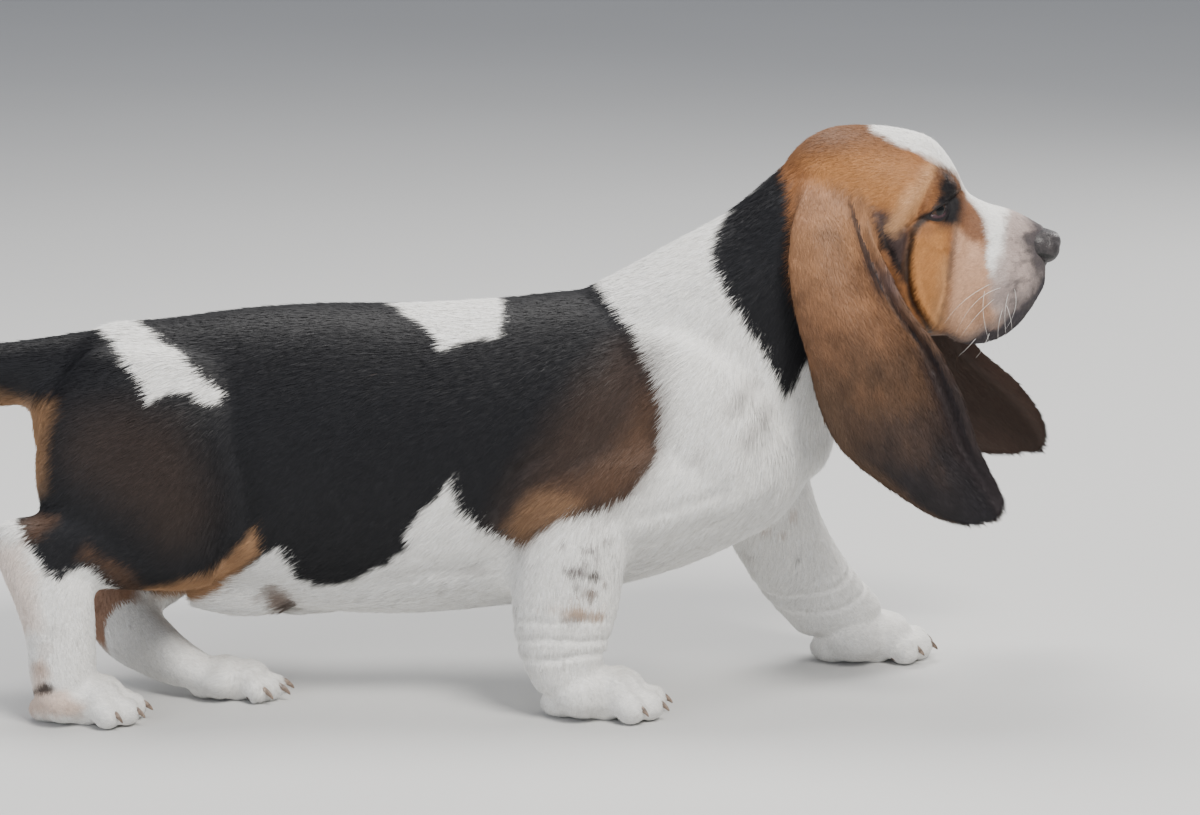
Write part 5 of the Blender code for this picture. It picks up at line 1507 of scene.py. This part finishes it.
# The coat: short, dense, close-lying hair in fine tufts, each rooted in the skin and lying
# back over the next ones; finest on the face and the feet, longest on the back and neck.
COAT_PIECES = [
    # Name, tufts a square millimetre, half width, share of the hair's length, slot.
    ("coat_head", 1.75, 0.25, 1.0, "coat_tan"),
    ("coat_ear_right", 1.25, 0.30, 1.0, "coat_brown"),
    ("coat_ear_left", 1.25, 0.30, 1.0, "coat_brown"),
    ("coat_neck", 0.85, 0.36, 1.0, "coat_white"),
    ("coat_back_fore", 0.80, 0.38, 1.0, "coat_black"),
    ("coat_back_middle", 0.80, 0.38, 1.0, "coat_black"),
    ("coat_back_rear", 0.80, 0.38, 1.0, "coat_black"),
    ("coat_tail", 0.85, 0.36, 1.0, "coat_black"),
    ("coat_legs_fore", 1.05, 0.30, 1.0, "coat_white"),
    ("coat_legs_hind", 1.05, 0.30, 1.0, "coat_white"),
    ("coat_paws", 1.5, 0.24, 0.9, "coat_white"),
]
MOST_TUFTS = 66000


def coat_region(points):
    """The coat piece that each place belongs to, by its number in the list."""
    x, y, z = points.T
    region = np.where(x > 24, 3, np.where(x > -90, 4, np.where(x > -195, 5, 6)))
    region = np.where(98 * (x - 134) + 44 * (z - 266) > 0, 0, region)
    region = np.where(x < -331, 7, region)
    region = np.where((z < 104) & (x > -62) & (x < 200) & ((np.abs(y) > 30) | (z < 58)), 8, region)
    region = np.where((z < 84) & (x < -180), 9, region)
    region = np.where(z < 30, 10, region)
    away = ear_place(points)[0]
    return np.where(away < 5, np.where(y < 0, 1, 2), region)


def unwrap(points, region):
    """Each root's place on its region's skin rolled flat: round the body's length by angle
    and along it by distance; an ear by its faces, each leg in a strip of its own."""
    x, y, z = points.T
    if region in (1, 2):
        _, place = ear_place(points)
        return np.stack([0.02 + 0.46 * place[:, 1] + np.where(place[:, 2] > 0, 0, 0.5), 0.02 + 0.94 * place[:, 0]], 1)
    if region in (8, 9, 10):
        fore = x > -150
        strip = np.where(fore, np.where(y < 0, 0, 1), np.where(y < 0, 2, 3)) * 0.25
        middle = np.select(
            [fore & (y < 0), fore, ~fore & (y < 0)], [(-14 + 0 * x), 150 - z * 0.5, (-308 + 0 * x)], -262 - (z - 40) * 0.8
        )
        level = np.select([fore & (y < 0), fore, ~fore & (y < 0)], [-58 + 0 * x, 54 + 0 * x, -68 + 0 * x], 8 + 0 * x)
        angle = np.arctan2(y - level, x - middle) / (2 * math.pi) + 0.5
        return np.stack([strip + 0.01 + 0.22 * angle, 0.02 + 0.94 * np.clip(z / 110, 0, 1)], 1)
    height = {0: 268, 7: 195}.get(region, 142)
    low, high = {0: (95, 262), 7: (-490, -325), 3: (20, 150)}.get(region, (-335, 40))
    angle = np.arctan2(y, z - height) / (2 * math.pi) + 0.5
    return np.stack([0.02 + 0.95 * angle, 0.02 + 0.95 * np.clip((x - low) / (high - low), 0, 1)], 1)


def tuft_mesh(name, roots, lie, normal, half, length, picks, colour, uv):
    """Each tuft is three slim faces round a ridge: two roots sunk in the skin, a raised point
    a third of the way along, and a tip. It leans out of the skin by a few degrees, and its
    way is turned a little about the skin's normal. Its shading normals are the skin's, tipped
    outward at the edges and forward at the tip, so that hairs take the light as a coat does."""
    count = len(roots)
    drift = 0.16 * smooth_noise(roots, 26, 31) + 0.07 * smooth_noise(roots, 8, 32)
    turn = (drift + picks.normal(0, 0.12, count))[:, None]
    across = np.cross(normal, lie)
    lie = lie * np.cos(turn) + across * np.sin(turn)
    across = np.cross(normal, lie)
    stray = 7.0 * (picks.uniform(0, 1, count) > 0.94)
    lean = np.radians(4.6 + picks.normal(0, 1.3, count) + 0.8 * smooth_noise(roots, 5, 33) + stray)[:, None]
    ahead = lie * np.cos(lean) + normal * np.sin(lean)
    length = (length * picks.uniform(0.7, 1.25, count))[:, None]
    half = half * picks.uniform(0.75, 1.25, count)[:, None]
    base = roots - normal * 0.15
    points = np.stack(
        [
            base - across * half,
            base + across * half,
            roots + ahead * length * 0.33 + normal * half * 0.3,
            roots + ahead * length,
        ],
        axis=1,
    )
    points[..., 2] = np.maximum(points[..., 2], 0.25)
    first = 4 * np.arange(count)[:, None, None]
    faces = (first + np.array([(0, 2, 1), (1, 2, 3), (3, 2, 0)])).reshape(-1, 3)
    mesh = bpy.data.meshes.new(name)
    mesh.vertices.add(count * 4)
    mesh.vertices.foreach_set("co", to_model(points).astype(np.float32).ravel())
    mesh.loops.add(faces.size)
    mesh.loops.foreach_set("vertex_index", faces.astype(np.int32).ravel())
    mesh.polygons.add(len(faces))
    mesh.polygons.foreach_set("loop_start", np.arange(0, faces.size, 3, dtype=np.int32))
    mesh.polygons.foreach_set("use_smooth", np.ones(len(faces), bool))
    mesh.update(calc_edges=True)
    facing = np.stack([normal - across * 0.45, normal + across * 0.45, normal, normal + lie * 0.15], axis=1)
    facing += picks.normal(0, 0.07, (count, 1, 3))
    facing /= np.linalg.norm(facing, axis=2, keepdims=True)
    mesh.normals_split_custom_set_from_vertices(facing.reshape(-1, 3).astype(np.float32))
    shade = picks.normal(1, 0.08, (count, 1)) + 0.05 * smooth_noise(roots, 2.4, 34)[:, None]
    steps = np.array([0.86, 0.86, 0.98, 1.06])
    tones = np.clip(colour[:, None] * (shade * steps)[..., None], 0.001, 0.93)
    keep_layer(mesh, "coat", tones.reshape(-1, 3))
    spread = np.array([(-0.0015, -0.0012), (0.0015, -0.0012), (0, 0), (0, 0.0018)])
    layer = mesh.uv_layers.new(name="OFBake")
    layer.data.foreach_set("uv", (uv[:, None] + spread).reshape(-1, 2)[faces.ravel()].astype(np.float32).ravel())
    return mesh


coat_finish, shader, tree, node = new_material("hound_coat", 0.5, 0.26)
place = node("TexCoord").outputs["Object"]
coat_layer = node("Attribute", attribute_name="coat")
strands = node("TexNoise", {"Vector": place}, Scale=1900, Detail=2)
shade = node("MapRange", {"Value": strands.outputs["Fac"]}, From_Min=0.3, From_Max=0.7, To_Min=0.86, To_Max=1.08)
tone = node("VectorMath", {0: coat_layer.outputs["Color"]}, operation="SCALE")
tree.links.new(shade.outputs["Result"], tone.inputs["Scale"])
tree.links.new(tone.outputs["Vector"], shader.inputs["Base Color"])

corners = np.empty(len(skin_mesh.polygons) * 3, np.int32)
skin_mesh.polygons.foreach_get("vertices", corners)
corners = corners.reshape(-1, 3)
skin_lie, skin_hair = lie_and_length(skin, normals)
bare = bare_share(skin)
a, b, c = (skin[corners[:, k]] for k in range(3))
areas = np.linalg.norm(np.cross(b - a, c - a), axis=1) / 2
areas *= 1 - np.clip(bare[corners].max(axis=1), 0, 1)
face_region = coat_region((a + b + c) / 3)
for region, (name, density, half, share, slot) in enumerate(COAT_PIECES):
    mine = np.flatnonzero((face_region == region) & (areas > 0))
    total = areas[mine].sum()
    count = int(min(MOST_TUFTS, total * density))
    picks = np.random.default_rng(100 + region)
    steps = (np.arange(count) + picks.uniform(0, 1, count)) / count * total
    face = mine[np.searchsorted(np.cumsum(areas[mine]), steps).clip(0, len(mine) - 1)]
    u, v = picks.uniform(0, 1, (2, count))
    u, v = np.where(u + v > 1, 1 - u, u), np.where(u + v > 1, 1 - v, v)
    weight = np.stack([1 - u - v, u, v], 1)[..., None]
    roots = (skin[corners[face]] * weight).sum(1)
    normal = (normals[corners[face]] * weight).sum(1)
    normal /= np.linalg.norm(normal, axis=1, keepdims=True)
    lie = (skin_lie[corners[face]] * weight).sum(1)
    lie -= normal * (lie * normal).sum(1, keepdims=True)
    lie /= np.maximum(np.linalg.norm(lie, axis=1, keepdims=True), 1e-6)
    length = (skin_hair[corners[face]] * weight[..., 0]).sum(1) * share * 0.86
    length *= 1 - 0.6 * smooth_step(-roots[:, 0], 440, 472)
    mesh = tuft_mesh(name, roots, lie, normal, half, length, picks, coat_colour(roots, normal), unwrap(roots, region))
    mesh.materials.append(coat_finish)
    add_piece(name, mesh, slot)

# The studio: a plain pale floor, a pale surround and soft lamps.
floor_mesh = bpy.data.meshes.new("floor")
floor_mesh.from_pydata([(-9, -9, 0), (9, -9, 0), (9, 9, 0), (-9, 9, 0)], [], [(0, 1, 2, 3)])
floor_finish, shader, tree, node = new_material("studio_floor", 0.8, 0.3)
place = node("TexCoord").outputs["Object"]
cloud = node("TexNoise", {"Vector": place}, Scale=1.5)
pale = node("ValToRGB", {"Fac": cloud.outputs["Fac"]})
pale.color_ramp.elements[0].color = (0.60, 0.60, 0.59, 1)
pale.color_ramp.elements[1].color = (0.64, 0.64, 0.63, 1)
tree.links.new(pale.outputs["Color"], shader.inputs["Base Color"])
floor_mesh.materials.append(floor_finish)
floor = bpy.data.objects.new("floor", floor_mesh)
bpy.context.scene.collection.objects.link(floor)
LAMPS = [
    # Name, place in metres, size, power, colour.
    ("key", (0.9, -1.3, 1.9), 0.9, 66, (1.0, 0.97, 0.92)),
    ("top", (-0.3, 0.6, 2.2), 1.2, 46, (1.0, 0.98, 0.95)),
    ("fill", (-1.6, -1.6, 0.9), 1.6, 17, (0.92, 0.95, 1.0)),
    ("rim", (1.5, 1.5, 1.1), 0.8, 19, (1.0, 0.98, 0.95)),
]
for name, spot, size, power, tint in LAMPS:
    lamp = bpy.data.lights.new(name, "AREA")
    lamp.shape = "DISK"
    lamp.size = size
    lamp.energy = power
    lamp.color = tint
    holder = bpy.data.objects.new(name, lamp)
    bpy.context.scene.collection.objects.link(holder)
    holder.location = spot
    holder.rotation_euler = (Vector((0, 0, 0.15)) - Vector(spot)).to_track_quat("-Z", "Y").to_euler()
world = bpy.data.worlds.new("studio")
bpy.context.scene.world = world
world.use_nodes = True
world.node_tree.nodes["Background"].inputs["Color"].default_value = (0.86, 0.90, 1.0, 1)
world.node_tree.nodes["Background"].inputs["Strength"].default_value = 0.42
